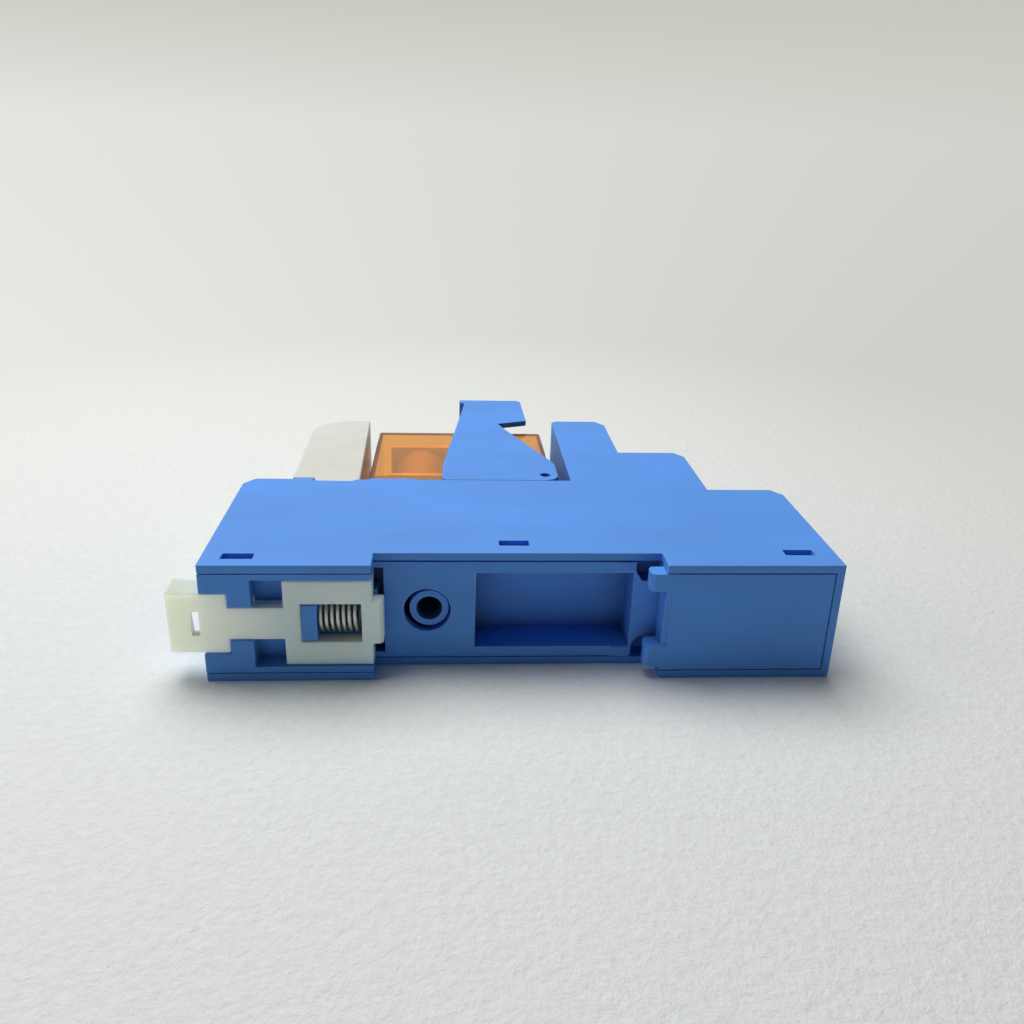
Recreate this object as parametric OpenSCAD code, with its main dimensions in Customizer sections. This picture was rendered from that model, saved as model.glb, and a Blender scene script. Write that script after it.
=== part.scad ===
// Plug-in relay in a rail socket, lying on its side.
// X runs along the socket, Y from the rail towards the relay, Z across the width.
// The origin is the centre of the rail seat.

/* [Rail side] */
// Slot between the two feet, for a 35 mm top-hat rail
rail_slot_w = 35.9; // [35.6:0.1:36.6]
// How far the feet stand in front of the rail seat
rail_depth = 3.6; // [3.4:0.1:4.2]
// Length of the foot that carries the sliding clip
clip_foot_l = 20.5; // [20:0.1:22]
// Length of the foot that carries the fixed hooks
hook_foot_l = 22.2; // [20:0.1:25]
// Reach of the hooks over the rail edge
hook_reach = 2; // [1.6:0.1:2.8]
// Depth of the cored pocket in the rail seat
pocket_depth = 5.5; // [4.5:0.1:6.8]
// Diameter of the hole for a panel screw
panel_hole_d = 3.3; // [3.2:0.05:3.6]
// Diameter of the tube round the panel screw
panel_tube_d = 5; // [4.8:0.1:5.4]
// Distance of the panel screw from the clip foot
panel_hole_x = 6.8; // [6.4:0.1:8]

/* [Housing] */
// Thickness of the outer walls
wall = 1.05; // [0.95:0.05:1.2]
// Thickness of the wall between the two rows of terminals
partition = 1; // [0.8:0.05:1.2]
// Height of the relay deck above the feet
deck_h = 29.8; // [29:0.1:33]
// Height of the lowest terminal tier above the feet
low_tier_h = 26.3; // [25.5:0.1:29]
// Height of the middle terminal tier above the feet
mid_tier_h = 43.3; // [42.5:0.1:46]
// Height of the highest terminal tier above the feet
tower_h = 60.5; // [59:0.1:64]
// Length of the lowest terminal tier
low_tier_l = 10.8; // [10:0.1:12]
// Length of the middle terminal tier
mid_tier_l = 10.55; // [10:0.05:12]
// Length of the highest terminal tier
tower_l = 9.35; // [9.2:0.05:10.5]
// Chamfer of the tier corners along the socket
corner_x = 1.4; // [0.6:0.1:1.6]
// Chamfer of the tier corners away from the rail
corner_y = 2; // [0.8:0.1:2.4]
// Height of the relay seat above the deck
seat_h = 4; // [3.6:0.1:4.6]

/* [Terminals] */
// Room between a clamp cage and the wall that its wire enters
cage_gap = 0.25; // [0.15:0.05:0.4]
// Diameter of a screw head
screw_head_d = 4.6; // [4.2:0.1:5]
// Height of a screw head
screw_head_h = 1.6; // [1.4:0.1:2]
// Diameter of a screw shank
screw_d = 2.8; // [2.5:0.1:3]
// Length of a screw shank
screw_shank_l = 5.3; // [5.2:0.1:5.8]
// Length of a clamp cage along the wire
cage_l = 5; // [4.4:0.1:5.2]
// Height of a clamp cage
cage_h = 7.5; // [7.3:0.1:8]
// Sheet thickness of a clamp cage
cage_t = 0.8; // [0.6:0.05:0.9]
// Thickness of the threaded top of a clamp cage
cage_top = 1.6; // [1.4:0.1:1.8]
// Rise of a clamp cage from open to closed
clamp_rise = 2; // [1.6:0.1:2.1]
// Thickness of a contact bar
bar_t = 0.8; // [0.6:0.05:1]
// Width of a contact bar
bar_w = 3; // [2.4:0.1:3.4]

/* [Relay] */
// Length of the relay
relay_l = 28.4; // [28:0.1:29.4]
// Width of the relay
relay_w = 12.4; // [12.2:0.1:13]
// Height of the relay above its seat
relay_h = 24.5; // [24.2:0.1:26]
// Wall of the relay cover
cover_t = 0.7; // [0.6:0.05:0.9]
// Gap between the relay and the highest tier
relay_gap = 2.1; // [2:0.1:3]
// Pitch of the contact pins along the relay
pin_pitch = 5; // [4.9:0.05:5.1]
// Spacing of the two rows of pins
pin_rows = 7.5; // [7.3:0.05:7.6]
// Thickness of a pin
pin_t = 0.5; // [0.4:0.05:0.6]
// Width of a pin
pin_w = 1.6; // [1.2:0.1:1.8]
// Length of the pins below the relay
pin_l = 4.7; // [4:0.1:5]
// Thickness of the relay base
relay_base_t = 3; // [2.6:0.1:3.2]
// Diameter of the core as a share of the winding's
core_share = 0.48; // [0.42:0.01:0.52]
// How far the bobbin flanges stand beyond the winding
winding_gap = 0.45; // [0.3:0.05:0.8]
// Turn of the armature between open and closed
armature_swing = 5; // [4:0.25:5]

/* [Lever] */
// Thickness of the lever arms
arm_t = 0.95; // [0.8:0.05:1.1]
// Room between the relay and a lever arm
arm_gap = 0.65; // [0.55:0.05:0.9]
// Height of the lever above the deck
lever_h = 44.65; // [43:0.05:47]
// Room between the lever's crossbar and the contact side of the relay seat
crossbar_gap = 1.15; // [0.8:0.05:1.5]
// Diameter of the pivot pins
pivot_d = 1.8; // [1.6:0.1:2]
// Thickness of the top bridge
bridge_t = 1.8; // [1.2:0.1:2.4]

/* [Rail clip] */
// Thickness of the clip
clip_t = 2.25; // [2:0.05:2.4]
// Reach of the pull tab beyond the socket
tab_reach = 4.2; // [3.5:0.1:5.5]
// Width of the pull tab
tab_w = 8; // [7:0.1:8.4]
// Thickness of the pull tab at its end
tab_t = 4.4; // [3.5:0.1:5]
// Width of the neck
neck_w = 4.3; // [3.8:0.1:4.8]
// Reach of the nose over the rail
nose_reach = 1.3; // [1:0.1:1.5]
// Width of the nose
nose_w = 5.7; // [5:0.1:8]
// Outer diameter of the spring
spring_d = 4; // [3.6:0.1:4.1]
// Wire diameter of the spring
spring_wire = 0.48; // [0.4:0.02:0.52]
// Number of spring coils
spring_coils = 7; // [5:1:8]

/* [Module] */
// Length of the indicator module at its foot
module_l = 9.9; // [9.4:0.1:10.2]
// Height of the indicator module above the deck
module_h = 30.3; // [28:0.1:33]
// Wall of the module cover
module_wall = 0.9; // [0.8:0.05:1.2]
// Gap between the module and the relay
module_gap = 0.85; // [0.6:0.05:1.2]

/* [Hidden] */
$fn = 48;

// Clearance between moulded parts that snap together
fit = 0.15;
// Clearance round metal parts held in slots
slot_fit = 0.1;
// Overlap of a cut with open air
cut = 1;
// Hinge clearance of the lever pivot
pivot_fit = 0.05;
// How far the lever and the module stay inside the side faces
inset = 0.1;

// Widths, from the relay outwards
housing_w = relay_w + 2 * (arm_gap + arm_t + inset);
half_w = housing_w / 2;
in_z = half_w - wall;
base_z = in_z - fit;
arm_z = half_w - inset;
arm_in_z = arm_z - arm_t;

// Places along the socket
x_slot_l = -rail_slot_w / 2;
x_slot_r = rail_slot_w / 2;
x_left = x_slot_l - clip_foot_l;
x_right = x_slot_r + hook_foot_l;
x_low = x_right - low_tier_l;
x_mid = x_low - mid_tier_l;
x_tower = x_mid - tower_l;
x_relay = x_tower - relay_gap - relay_l;
x_relay_end = x_relay + relay_l;
x_panel = x_slot_l + panel_hole_x;

// Heights away from the rail
y_feet = -rail_depth;
y_deck = y_feet + deck_h;
y_low = y_feet + low_tier_h;
y_mid = y_feet + mid_tier_h;
y_tower = y_feet + tower_h;
y_seat = y_deck + seat_h;
lid = 1.2;
y_deck_in = y_deck - lid;

// Base moulding
base_t = 1.2;
base_wall = 0.75;
rib_t = 1;
rib_y = 3;
pocket_start = 12.6;
pocket_land = 3.4;
pocket_x = [x_slot_l + pocket_start, x_slot_r - pocket_land];
pocket_z = [1.4 - base_z, base_z - 1.5];
y_inside = pocket_depth + rib_t + 0.3;
y_gate = 2;

// Hole of the base round the tube of the panel screw: its clearance, and how far it sits off the tube
tube_gap = 0.45;
tube_offset = 0.25;

// Height ranges of the two hooks across the width
hook_z = [[base_z - 2.4, base_z], [0.4 - base_z, 3.5 - base_z]];

// Recesses beside the hooks: widths from the upper and lower edge, slanted corner, wall to the pocket, depth
recess_w = [2.6, 2.9];
recess_slant = [0.8, 1.2];
recess_wall = 0.3;
recess_depth = rib_y - 0.8;

// Rail clip channel: its guides from the clip end of the socket, its spring from the rail slot
clip_gap = 0.25;
y_clip = y_feet + clip_gap;
y_clip_back = y_clip + clip_t;
y_floor = y_clip_back + fit;
shoulder_l = 3.1;
guide_l = 2.95;
body_l = 10.7;
post_back = 8.65;
post_l = 1.9;
shoulder_x = x_left + shoulder_l;
guide_end_x = shoulder_x + guide_l;
body_x = x_slot_l - body_l;
post_x = x_slot_l - post_back;
nose_x = x_slot_l;
window_x = [post_x - 0.05, nose_x - 1.35];
window_w = spring_d + 1.2;
guide_z = neck_w / 2 + fit;
tongue_w = 0.7;
tongue_t = 0.8;
channel_z = base_z - base_wall;
clip_w = 2 * (channel_z - 0.25);
spring_y = y_clip + 0.1 + spring_d / 2;
spring_r = (spring_d - spring_wire) / 2;
trough_y = spring_y + spring_d / 2 + 0.2;
trough_z = spring_d / 2 + 0.4;
trough_end = window_x[1] + 1 + fit;

// Snap windows: start along X, length, start along Y, height
snap_l = 3.8;
snap_h = 1.6;
snap_in = [2.4, 6.6];
snap_mid_x = -2.35;
snap_x = [x_left + snap_in[0], snap_mid_x, x_right - snap_in[1]];
snap_y = [y_feet + 1.9, 2.3, y_feet + 3.1];
snap_reach = 0.55;

// Terminals: coil, upper, middle and lower rows
ROWS = ["coil", "upper", "middle", "lower"];
row_wall = [x_left, x_mid, x_low, x_right];
row_dir = [-1, 1, 1, 1];
row_top = [y_deck, y_tower, y_mid, y_low];
term_z = (partition / 2 + in_z) / 2;
screw_offset = wall + cage_gap + cage_l / 2;
head_gap = 0.2;
head_drop = lid + head_gap;
shank_drop = head_drop + screw_head_h;
bar_drop = shank_drop + screw_shank_l + 0.05;
cage_drop = shank_drop + head_gap + clamp_rise;
cage_w = in_z - partition / 2 - 0.65;
access_d = screw_head_d - 0.6;
entry_w = 4.2;
entry_top = bar_drop + bar_t - 0.1;
entry_bottom = cage_drop + cage_h - cage_t;

// Relay pins and the forks that take them
pin_z = pin_rows / 2;
pin_x = [for (n = [0:2]) x_relay_end - 2.3 - (2 - n) * pin_pitch];
coil_pin_x = x_relay + 2.6;
fork_t = 0.5;
fork_gap = pin_t + 2 * slot_fit;
fork_w = fork_gap + 2 * fork_t;
seat_lid = 0.7;
bar_width = 2;
y_fork = y_seat - seat_lid - 0.3;
fork_h = 5.6;
contact_block_x = pin_x[0] - 1.65;
lever_foot_x = contact_block_x - crossbar_gap - bar_width;
coil_block_end = min(x_panel - panel_tube_d / 2, lever_foot_x - 0.5);
block_z = arm_in_z - 0.25;

// Contact bar runs under the deck
upper_run_x = x_tower + wall + 0.05 + bar_t / 2;
middle_run_x = upper_run_x + 1.85;
run_room = y_fork - fork_h - bar_mid(3);
upper_run_y = bar_mid(3) + 0.83 * run_room;
middle_run_y = bar_mid(3) + 0.37 * run_room;

// Lever
pivot_x = x_relay_end - 1.5;
pivot_y = y_seat - 1.35;
lever_top = y_deck + lever_h;
lever_bottom = y_deck + 0.4;
pivot_reach = 1.1;
dimple_d = 1.6;
dimple_depth = 0.7;
bridge_back = 14.2;
bridge_front = 6.8;
bridge_x = [x_relay_end - bridge_back, x_relay_end - bridge_front];

// Thumb tab of the lever and the notch below it: distances back from the pivot and down from the top
thumb_drop = 13.35;
notch_back = 6;
notch_drop_y = 15.3;
web_back = 5;
web_drop = 18.4;
web_foot = 6.4;
eye_rise = 3.6;
eye_front = 1.95;

// Module
module_x1 = x_relay - module_gap;
module_x0 = module_x1 - module_l;
module_top = y_deck + module_h;
module_foot = y_deck + 0.1;
tongue_in = [6.55, 0.75];
tongue_x = [module_x1 - tongue_in[0], module_x1 - tongue_in[1]];
notch_drop = 0.7;
board_t = 1;
board_x = module_x0 + 4.8;
module_pin_x = board_x + board_t + pin_t / 2;
module_fork_y = y_deck_in - 0.5;
module_pin_tip = module_fork_y - 4.2;
module_pin_root = y_deck + 4;
board_top = module_top - 6;
led_h = 2.2;
led_r = 1.5;
diode_l = 5;
diode_r = 1.2;
lead_l = 10;
lead_r = 0.35;

// Relay inside: places from the relay's end and from its seat
in_relay_z = relay_w / 2 - cover_t;
contact_room = 18;
yoke_t = 1;
iron_w = 2 * (in_relay_z - 0.7);
y_base = y_seat + relay_base_t;
y_coil = y_base + yoke_t;
coil_room = 6.7;
coil_h = relay_h - relay_base_t - coil_room;
flange_t = 1;
flange_l = relay_l - contact_room;
flange_w = 2 * (in_relay_z - 0.3);
winding_d = min(flange_l, flange_w) - 2 * winding_gap;
core_d = core_share * winding_d;
coil_x = x_relay + 2.5 + flange_l / 2;
y_pole = y_coil + coil_h;
pole_t = 0.8;
yoke_x = coil_x + flange_l / 2 + 0.25;
yoke_end = yoke_x + yoke_t;
y_yoke = y_pole + 1;
leg_gap = 1.1;
leg_drop = 7.8;
yoke_foot_x = x_relay + 3.5;
armature_x = x_relay + 4;
card_drop = 0.2;
card_h = 2;
card_t = 1.5;
blade_t = 0.4;
blade_x = pin_x[1] + 0.05;
contact_t = 0.5;
rivet_r = 1.1;
post_top = y_seat + relay_h - 4;
rivet_y = post_top - 2;
rivet_z = pin_z - 0.45;
contact_gap = 0.6;
contact_z = [2.5, in_relay_z - 0.5];
blade_z = [0.7, in_relay_z - 0.5];

BLUE = "#3f74c4";
NYLON = "#dcdcc8";
STEEL = "#a9abaa";
BRASS = "#c9a95c";
AMBER = [0.85, 0.45, 0.08, 0.6];
MILK = [0.86, 0.86, 0.82, 0.9];

SCREWS = [for (r = ROWS, s = ["a", "b"]) str(r, "_screw_", s)];
CAGES = [for (r = ROWS, s = ["a", "b"]) str(r, "_cage_", s)];
BARS = [for (r = ROWS, s = ["a", "b"]) str(r, "_bar_", s)];

// A block between two corners
module block(x, y, z) {
    translate([x[0], y[0], z[0]])
        cube([x[1] - x[0], y[1] - y[0], z[1] - z[0]]);
}

// A block across the width, between two points of the X-Y plane
module slab(x, y, half) {
    block(x, y, [-half, half]);
}

// The same shape on both sides of the middle plane
module both_sides() {
    children();
    mirror([0, 0, 1]) children();
}

// One side of the middle plane: 0 is the upper side as it lies, 1 the lower
module on_side(side) {
    mirror([0, 0, side]) children();
}

// A round bar along Y
module rod_y(x, y, z, r) {
    translate([x, y[0], z])
        rotate([-90, 0, 0])
            cylinder(r = r, h = y[1] - y[0]);
}

// A round bar along X
module rod_x(x, y, z, r) {
    translate([x[0], y, z])
        rotate([0, 90, 0])
            cylinder(r = r, h = x[1] - x[0]);
}

// A flat outline with rounded corners
module rounded(l, w, r) {
    square([l - 2 * r, w], center = true);
    square([l, w - 2 * r], center = true);
    for (x = [-1, 1], y = [-1, 1])
        translate([x * (l / 2 - r), y * (w / 2 - r)])
            circle(r);
}

function screw_x(row) = row_wall[row] - row_dir[row] * screw_offset;

// Outline of the housing seen from the side
module housing_outline() {
    polygon([
        [x_left, y_feet], [x_slot_l, y_feet], [x_slot_l, 0], [x_slot_r, 0],
        [x_slot_r, y_feet], [x_right, y_feet],
        [x_right, y_low - corner_y], [x_right - corner_x, y_low],
        [x_low, y_low], [x_low, y_mid - corner_y], [x_low - corner_x, y_mid],
        [x_mid, y_mid], [x_mid, y_tower - corner_y], [x_mid - corner_x, y_tower],
        [x_tower + 0.6, y_tower], [x_tower, y_tower - 0.8],
        [x_tower, y_deck], [x_left + corner_x, y_deck], [x_left, y_deck - corner_y]
    ]);
}

// Chamber for a pair of terminals, open towards the rail
module chambers(x, top) {
    both_sides()
        block(x, [y_inside - cut, top], [partition / 2, in_z]);
}

module housing_cavities() {
    slab([x_left + wall, x_right - wall], [y_feet - cut, y_inside], in_z);
    slab([x_left - cut, x_left + wall + cut], [y_feet - cut, y_gate], in_z);
    chambers([x_low, x_right - wall], y_low - lid);
    chambers([x_mid, x_low - wall], y_mid - lid);
    chambers([x_tower + wall, x_mid - wall], y_tower - lid);
    chambers([x_left + wall, x_relay - wall - 0.45], y_deck_in);
    slab([x_relay - 0.45, x_tower], [y_inside - cut, y_deck_in], in_z);
}

// Wire entry with a lead-in, drawn for a wall at x = 0 facing +X
module wire_entry() {
    funnel = 0.6;
    linear_extrude(height = entry_w, center = true)
        polygon([
            [-wall - cut, -entry_bottom], [-funnel, -entry_bottom], [cut, -entry_bottom - funnel - cut],
            [cut, -entry_top + funnel + cut], [-funnel, -entry_top], [-wall - cut, -entry_top]
        ]);
}

module terminal_openings() {
    both_sides()
        for (row = [0:3]) {
            rod_y(screw_x(row), [row_top[row] - lid - cut, row_top[row] + cut], term_z, access_d / 2);
            translate([row_wall[row], row_top[row], term_z])
                rotate([0, row_dir[row] > 0 ? 0 : 180, 0])
                    wire_entry();
        }
}

// Slots in the inner walls that hold the contact bars
module bar_slots() {
    z = [term_z - bar_w / 2 - slot_fit, term_z + bar_w / 2 + slot_fit];
    reach = bar_t / 2 + slot_fit;
    both_sides() {
        block([x_relay - 2 * wall, x_relay], bar_y(0, reach), z);
        block([x_tower - cut, x_tower + wall + cut], [upper_run_y - reach, upper_run_y + reach], z);
        block([x_tower - cut, x_tower + wall + cut], [middle_run_y - reach, middle_run_y + reach], z);
        block([x_mid - wall - cut, x_mid + cut], bar_y(2, reach), z);
        for (x = [x_tower, x_mid - wall, x_low - wall])
            block([x - cut, x + wall + cut], bar_y(3, reach), z);
    }
}

// Height range round the bar of a row
function bar_mid(row) = row_top[row] - bar_drop - bar_t / 2;
function bar_y(row, reach) = [bar_mid(row) - reach, bar_mid(row) + reach];

// Pocket for a fork and the slot that lets its pin in
module fork_seat(x, top, roof) {
    block([x - fork_w / 2 - slot_fit, x + fork_w / 2 + slot_fit], [y_deck_in - cut, top - roof],
          [term_z - bar_w / 2 - fit, term_z + bar_w / 2 + fit]);
    block([x - pin_t / 2 - 0.25, x + pin_t / 2 + 0.25], [top - roof - cut, top + cut],
          [pin_z - pin_w / 2 - 0.3, pin_z + pin_w / 2 + 0.3]);
}

module snap_windows(grow, reach) {
    both_sides()
        for (n = [0:2])
            block([snap_x[n] - grow, snap_x[n] + snap_l + grow],
                  [snap_y[n] - grow, snap_y[n] + snap_h + grow], [base_z - 0.3, reach]);
}

module housing() {
    color(BLUE)
        difference() {
            union() {
                difference() {
                    linear_extrude(height = housing_w, center = true) housing_outline();
                    housing_cavities();
                }
                rod_y(x_panel, [0.6, y_deck - lid / 2], 0, panel_tube_d / 2);
                slab([x_relay + 0.05, coil_block_end], [y_deck_in, y_seat], block_z);
                slab([contact_block_x, x_relay_end], [y_deck_in, y_seat], block_z);
                both_sides()
                    block([module_x0 + 0.55, tongue_x[0] - 0.25], [y_deck - cut, y_deck + 0.8],
                          [in_z, half_w - inset]);
            }
            rod_y(x_panel, [-cut, y_seat + cut], 0, panel_hole_d / 2);
            snap_windows(0, half_w + cut);
            terminal_openings();
            bar_slots();
            both_sides() {
                for (x = pin_x)
                    fork_seat(x, y_seat, seat_lid);
                fork_seat(coil_pin_x, y_seat, seat_lid);
                block([module_pin_x - pin_t / 2 - 0.25, module_pin_x + pin_t / 2 + 0.25],
                      [y_deck_in - cut, y_deck + cut], [term_z - pin_w / 2 - 0.3, term_z + pin_w / 2 + 0.3]);
                block([tongue_x[0] - 0.25, tongue_x[1] + 0.25], [y_deck - notch_drop, y_deck + cut],
                      [in_z - 0.2, half_w + cut]);
                translate([pivot_x, pivot_y, arm_in_z - pivot_reach - 0.1])
                    cylinder(d = pivot_d + 2 * pivot_fit, h = pivot_reach + cut);
            }
        }
}

// Clip foot of the base: channel floor, guides, spring trough and post
module clip_foot() {
    difference() {
        union() {
            slab([x_left, x_slot_l], [y_floor, y_floor + base_t], base_z);
            slab([post_x - 0.6, trough_end + 0.6], [y_floor, trough_y + rib_t], trough_z + rib_t);
            slab([x_left, x_left + rib_t], [y_floor, y_gate - fit], base_z);
            both_sides() {
                block([x_left, x_slot_l], [y_feet, rib_y], [channel_z, base_z]);
                block([x_left, shoulder_x + fit], [y_feet, y_floor], [tab_w / 2 + fit, base_z]);
                block([shoulder_x + fit, guide_end_x], [y_feet, y_floor], [guide_z, base_z]);
            }
        }
        both_sides()
            block([shoulder_x, guide_end_x + cut], [y_clip_back - tongue_t - fit, y_floor],
                  [0, guide_z + tongue_w]);
        slab([post_x + post_l, trough_end], [y_floor - cut, trough_y], trough_z);
        slab([x_left - cut, x_left + wall + fit], [y_gate - fit, rib_y + cut], base_z + cut);
    }
    slab([post_x, post_x + post_l], [y_clip + 0.05, trough_y + rib_t], trough_z);
}

// Rail seat of the base with the cored pocket
module rail_seat() {
    seat_x = x_slot_l + 1.2;
    difference() {
        union() {
            slab([seat_x, x_slot_r + rib_t], [0, base_t], base_z);
            slab([pocket_x[1], x_slot_r + rib_t], [0, rib_y], base_z);
            slab([seat_x, seat_x + rib_t], [0, rib_y], base_z);
            slab([trough_end, seat_x + rib_t], [trough_y + rib_t, rib_y], base_z);
            block([pocket_x[0] - rib_t, pocket_x[1] + rib_t], [0, pocket_depth + rib_t],
                  [pocket_z[0] - rib_t, pocket_z[1] + rib_t]);
            for (z = [[pocket_z[1] + 0.1, base_z], [-base_z, pocket_z[0] - 0.1]])
                block([pocket_x[1] - 2.4, pocket_x[1]], [-0.2, base_t], z);
            both_sides()
                block([x_slot_l - cut, x_slot_r + cut], [0, rib_y], [channel_z, base_z]);
        }
        rod_y(x_panel - tube_offset, [-cut, base_t + cut], 0, panel_tube_d / 2 + tube_gap);
        block(pocket_x, [-cut, pocket_depth], pocket_z);
        for (side = [0, 1])
            on_side(side) hook_recess(recess_w[side]);
    }
}

// Recess behind a hook, with a slanted inner corner
module hook_recess(w) {
    x = [pocket_x[1] + recess_wall, x_slot_r];
    low = base_z - w;
    rotate([90, 0, 0])
        translate([0, 0, -recess_depth])
            linear_extrude(height = recess_depth + cut)
                polygon([
                    [x[0], base_z + cut], [x[0], low + recess_slant[1]], [x[0] + recess_slant[0], low],
                    [x[1], low], [x[1], base_z + cut]
                ]);
}

// Hook that holds the rail edge, with a chamfered nose
module hook(z) {
    nose = 0.5;
    hook_y = -1.25;
    x = [x_slot_r - hook_reach, x_slot_r + rib_t];
    translate([0, 0, z[0]])
        linear_extrude(height = z[1] - z[0]) {
            polygon([
                [x[0], y_feet + nose], [x[0] + nose, y_feet], [x[1], y_feet], [x[1], hook_y],
                [x[0] + 0.4, hook_y], [x[0], hook_y - 0.5]
            ]);
        }
}

module hook_foot() {
    end = x_right - wall - fit;
    difference() {
        slab([x_slot_r + 0.05, end], [y_feet, rib_y], base_z);
        slab([x_slot_r + rib_t, end - rib_t], [y_feet + base_t, rib_y + cut], channel_z);
        slab([x_slot_r, x_slot_r + 0.8], [y_feet - cut, y_feet + 0.2], 3.6);
    }
    for (z = [hook_z[0], hook_z[1]])
        hook(z);
}

module base() {
    color(BLUE) {
        clip_foot();
        rail_seat();
        hook_foot();
        intersection() {
            snap_windows(-slot_fit, base_z + snap_reach);
            slab([x_left, x_right], [y_feet, y_inside], half_w);
        }
    }
}

module rail_clip() {
    tab_x = x_left - tab_reach;
    slot_x = [x_left - 1.3, x_left - 0.35];
    slot_z = 1.55;
    core_x = [x_left - 2.4, x_left - 0.2];
    skin = 1;
    ramp = 0.4;
    color(NYLON)
        difference() {
            union() {
                translate([0, 0, -tab_w / 2])
                    linear_extrude(height = tab_w)
                        polygon([
                            [tab_x + 0.3, y_clip], [shoulder_x, y_clip], [shoulder_x, y_clip_back],
                            [x_left - 0.2, y_clip_back], [x_left - 0.5, y_clip + tab_t - 0.7],
                            [tab_x, y_clip + tab_t], [tab_x, y_clip + 0.4]
                        ]);
                slab([shoulder_x - cut, body_x + cut], [y_clip, y_clip_back], neck_w / 2);
                slab([shoulder_x, guide_end_x], [y_clip_back - tongue_t, y_clip_back],
                     neck_w / 2 + tongue_w);
                slab([body_x, nose_x], [y_clip, y_clip_back], clip_w / 2);
                slab([window_x[1], window_x[1] + 1], [y_clip, trough_y - 0.25], trough_z - 0.3);
                translate([0, 0, -nose_w / 2])
                    linear_extrude(height = nose_w)
                        polygon([
                            [nose_x - cut, y_clip], [nose_x + nose_reach - ramp, y_clip],
                            [nose_x + nose_reach, y_clip + ramp], [nose_x + nose_reach, y_clip_back],
                            [nose_x - cut, y_clip_back]
                        ]);
            }
            slab(window_x, [y_clip - cut, y_clip_back + cut], window_w / 2);
            slab(slot_x, [y_clip - cut, y_clip + tab_t + cut], slot_z);
            slab(core_x, [y_clip + skin, y_clip + tab_t + cut], tab_w / 2 - skin);
        }
}

// Points round the wire at a place along the spring
function wire_ring(u, length, sides) =
    let (turn = 360 * spring_coils * u, mid = [length * u, spring_r * cos(turn), spring_r * sin(turn)])
    [for (k = [0:sides - 1])
        let (a = 360 * k / sides, r = spring_wire / 2)
        mid + [r * cos(a), r * sin(a) * cos(turn), r * sin(a) * sin(turn)]];

// Coil spring along X, from its fixed end
module coil_spring(length) {
    sides = 8;
    rings = spring_coils * 14;
    points = [for (n = [0:rings]) each wire_ring(n / rings, length, sides)];
    walls = [for (n = [0:rings - 1], k = [0:sides - 1])
        let (a = n * sides + k, b = n * sides + (k + 1) % sides)
        [a, b, b + sides, a + sides]];
    ends = [[for (k = [sides - 1:-1:0]) k], [for (k = [0:sides - 1]) rings * sides + k]];
    polyhedron(points = points, faces = concat(walls, ends), convexity = 10);
}

module rail_clip_spring() {
    start = post_x + post_l + spring_wire / 2 + 0.02;
    end = window_x[1] - spring_wire / 2 - 0.02;
    color(STEEL)
        translate([start, spring_y, 0])
            coil_spring(end - start);
}

// Side outline of a lever arm
module arm_outline() {
    polygon([
        [lever_foot_x + 0.5, lever_bottom], [lever_foot_x, lever_bottom + 0.6], [lever_foot_x, y_seat + 2.8],
        [bridge_x[0] + 0.85, lever_top - 2.8], [bridge_x[0] + 0.85, lever_top],
        [pivot_x - 1.65, lever_top], [pivot_x - 1.1, lever_top - 0.8],
        [pivot_x - 0.85, lever_top - thumb_drop], [pivot_x - notch_back, lever_top - notch_drop_y],
        [pivot_x - web_back, lever_top - web_drop],
        [pivot_x + 1.1, y_seat + web_foot], [pivot_x + eye_front, y_seat + eye_rise],
        [pivot_x + eye_front, pivot_y - 0.6],
        [pivot_x + 1.3, pivot_y - 1.7], [pivot_x, lever_bottom]
    ]);
}

module lever() {
    color(BLUE)
        difference() {
            union() {
                both_sides() {
                    translate([0, 0, arm_in_z])
                        linear_extrude(height = arm_t) arm_outline();
                    translate([pivot_x, pivot_y, arm_in_z - pivot_reach])
                        cylinder(d = pivot_d, h = pivot_reach + arm_t / 2);
                }
                slab([lever_foot_x, lever_foot_x + bar_width], [lever_bottom + 0.4, y_seat - 0.2],
                     arm_in_z + arm_t / 2);
                slab(bridge_x, [lever_top - bridge_t, lever_top], arm_z);
            }
            both_sides()
                translate([pivot_x, pivot_y, arm_z - dimple_depth])
                    cylinder(d = dimple_d, h = cut);
        }
}

// Captive terminal screw with a crossed slot
module terminal_screw(row) {
    top = row_top[row] - head_drop;
    x = screw_x(row);
    slot = [0.7, 3.4, 0.9];
    color(STEEL)
        difference() {
            union() {
                rod_y(x, [top - screw_head_h, top], term_z, screw_head_d / 2);
                rod_y(x, [top - screw_head_h - screw_shank_l, top], term_z, screw_d / 2);
            }
            for (turn = [0, 90])
                translate([x, top, term_z])
                    rotate([0, turn, 0])
                        cube([slot[0], 2 * slot[2], slot[1]], center = true);
        }
}

// Clamp cage in its open place
module terminal_cage(row) {
    top = row_top[row] - cage_drop;
    x = screw_x(row);
    color(STEEL)
        difference() {
            block([x - cage_l / 2, x + cage_l / 2], [top - cage_h, top],
                  [term_z - cage_w / 2, term_z + cage_w / 2]);
            block([x - cage_l, x + cage_l], [top - cage_h + cage_t, top - cage_top],
                  [term_z - cage_w / 2 + cage_t, term_z + cage_w / 2 - cage_t]);
            rod_y(x, [top - cage_h / 2, top + cut], term_z, screw_d / 2 + slot_fit);
        }
}

// A straight stretch of contact bar between two points of its outline
module run(a, b) {
    lo = [min(a[0], b[0]) - bar_t / 2, min(a[1], b[1]) - bar_t / 2];
    hi = [max(a[0], b[0]) + bar_t / 2, max(a[1], b[1]) + bar_t / 2];
    translate(lo) square(hi - lo);
}

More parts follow.
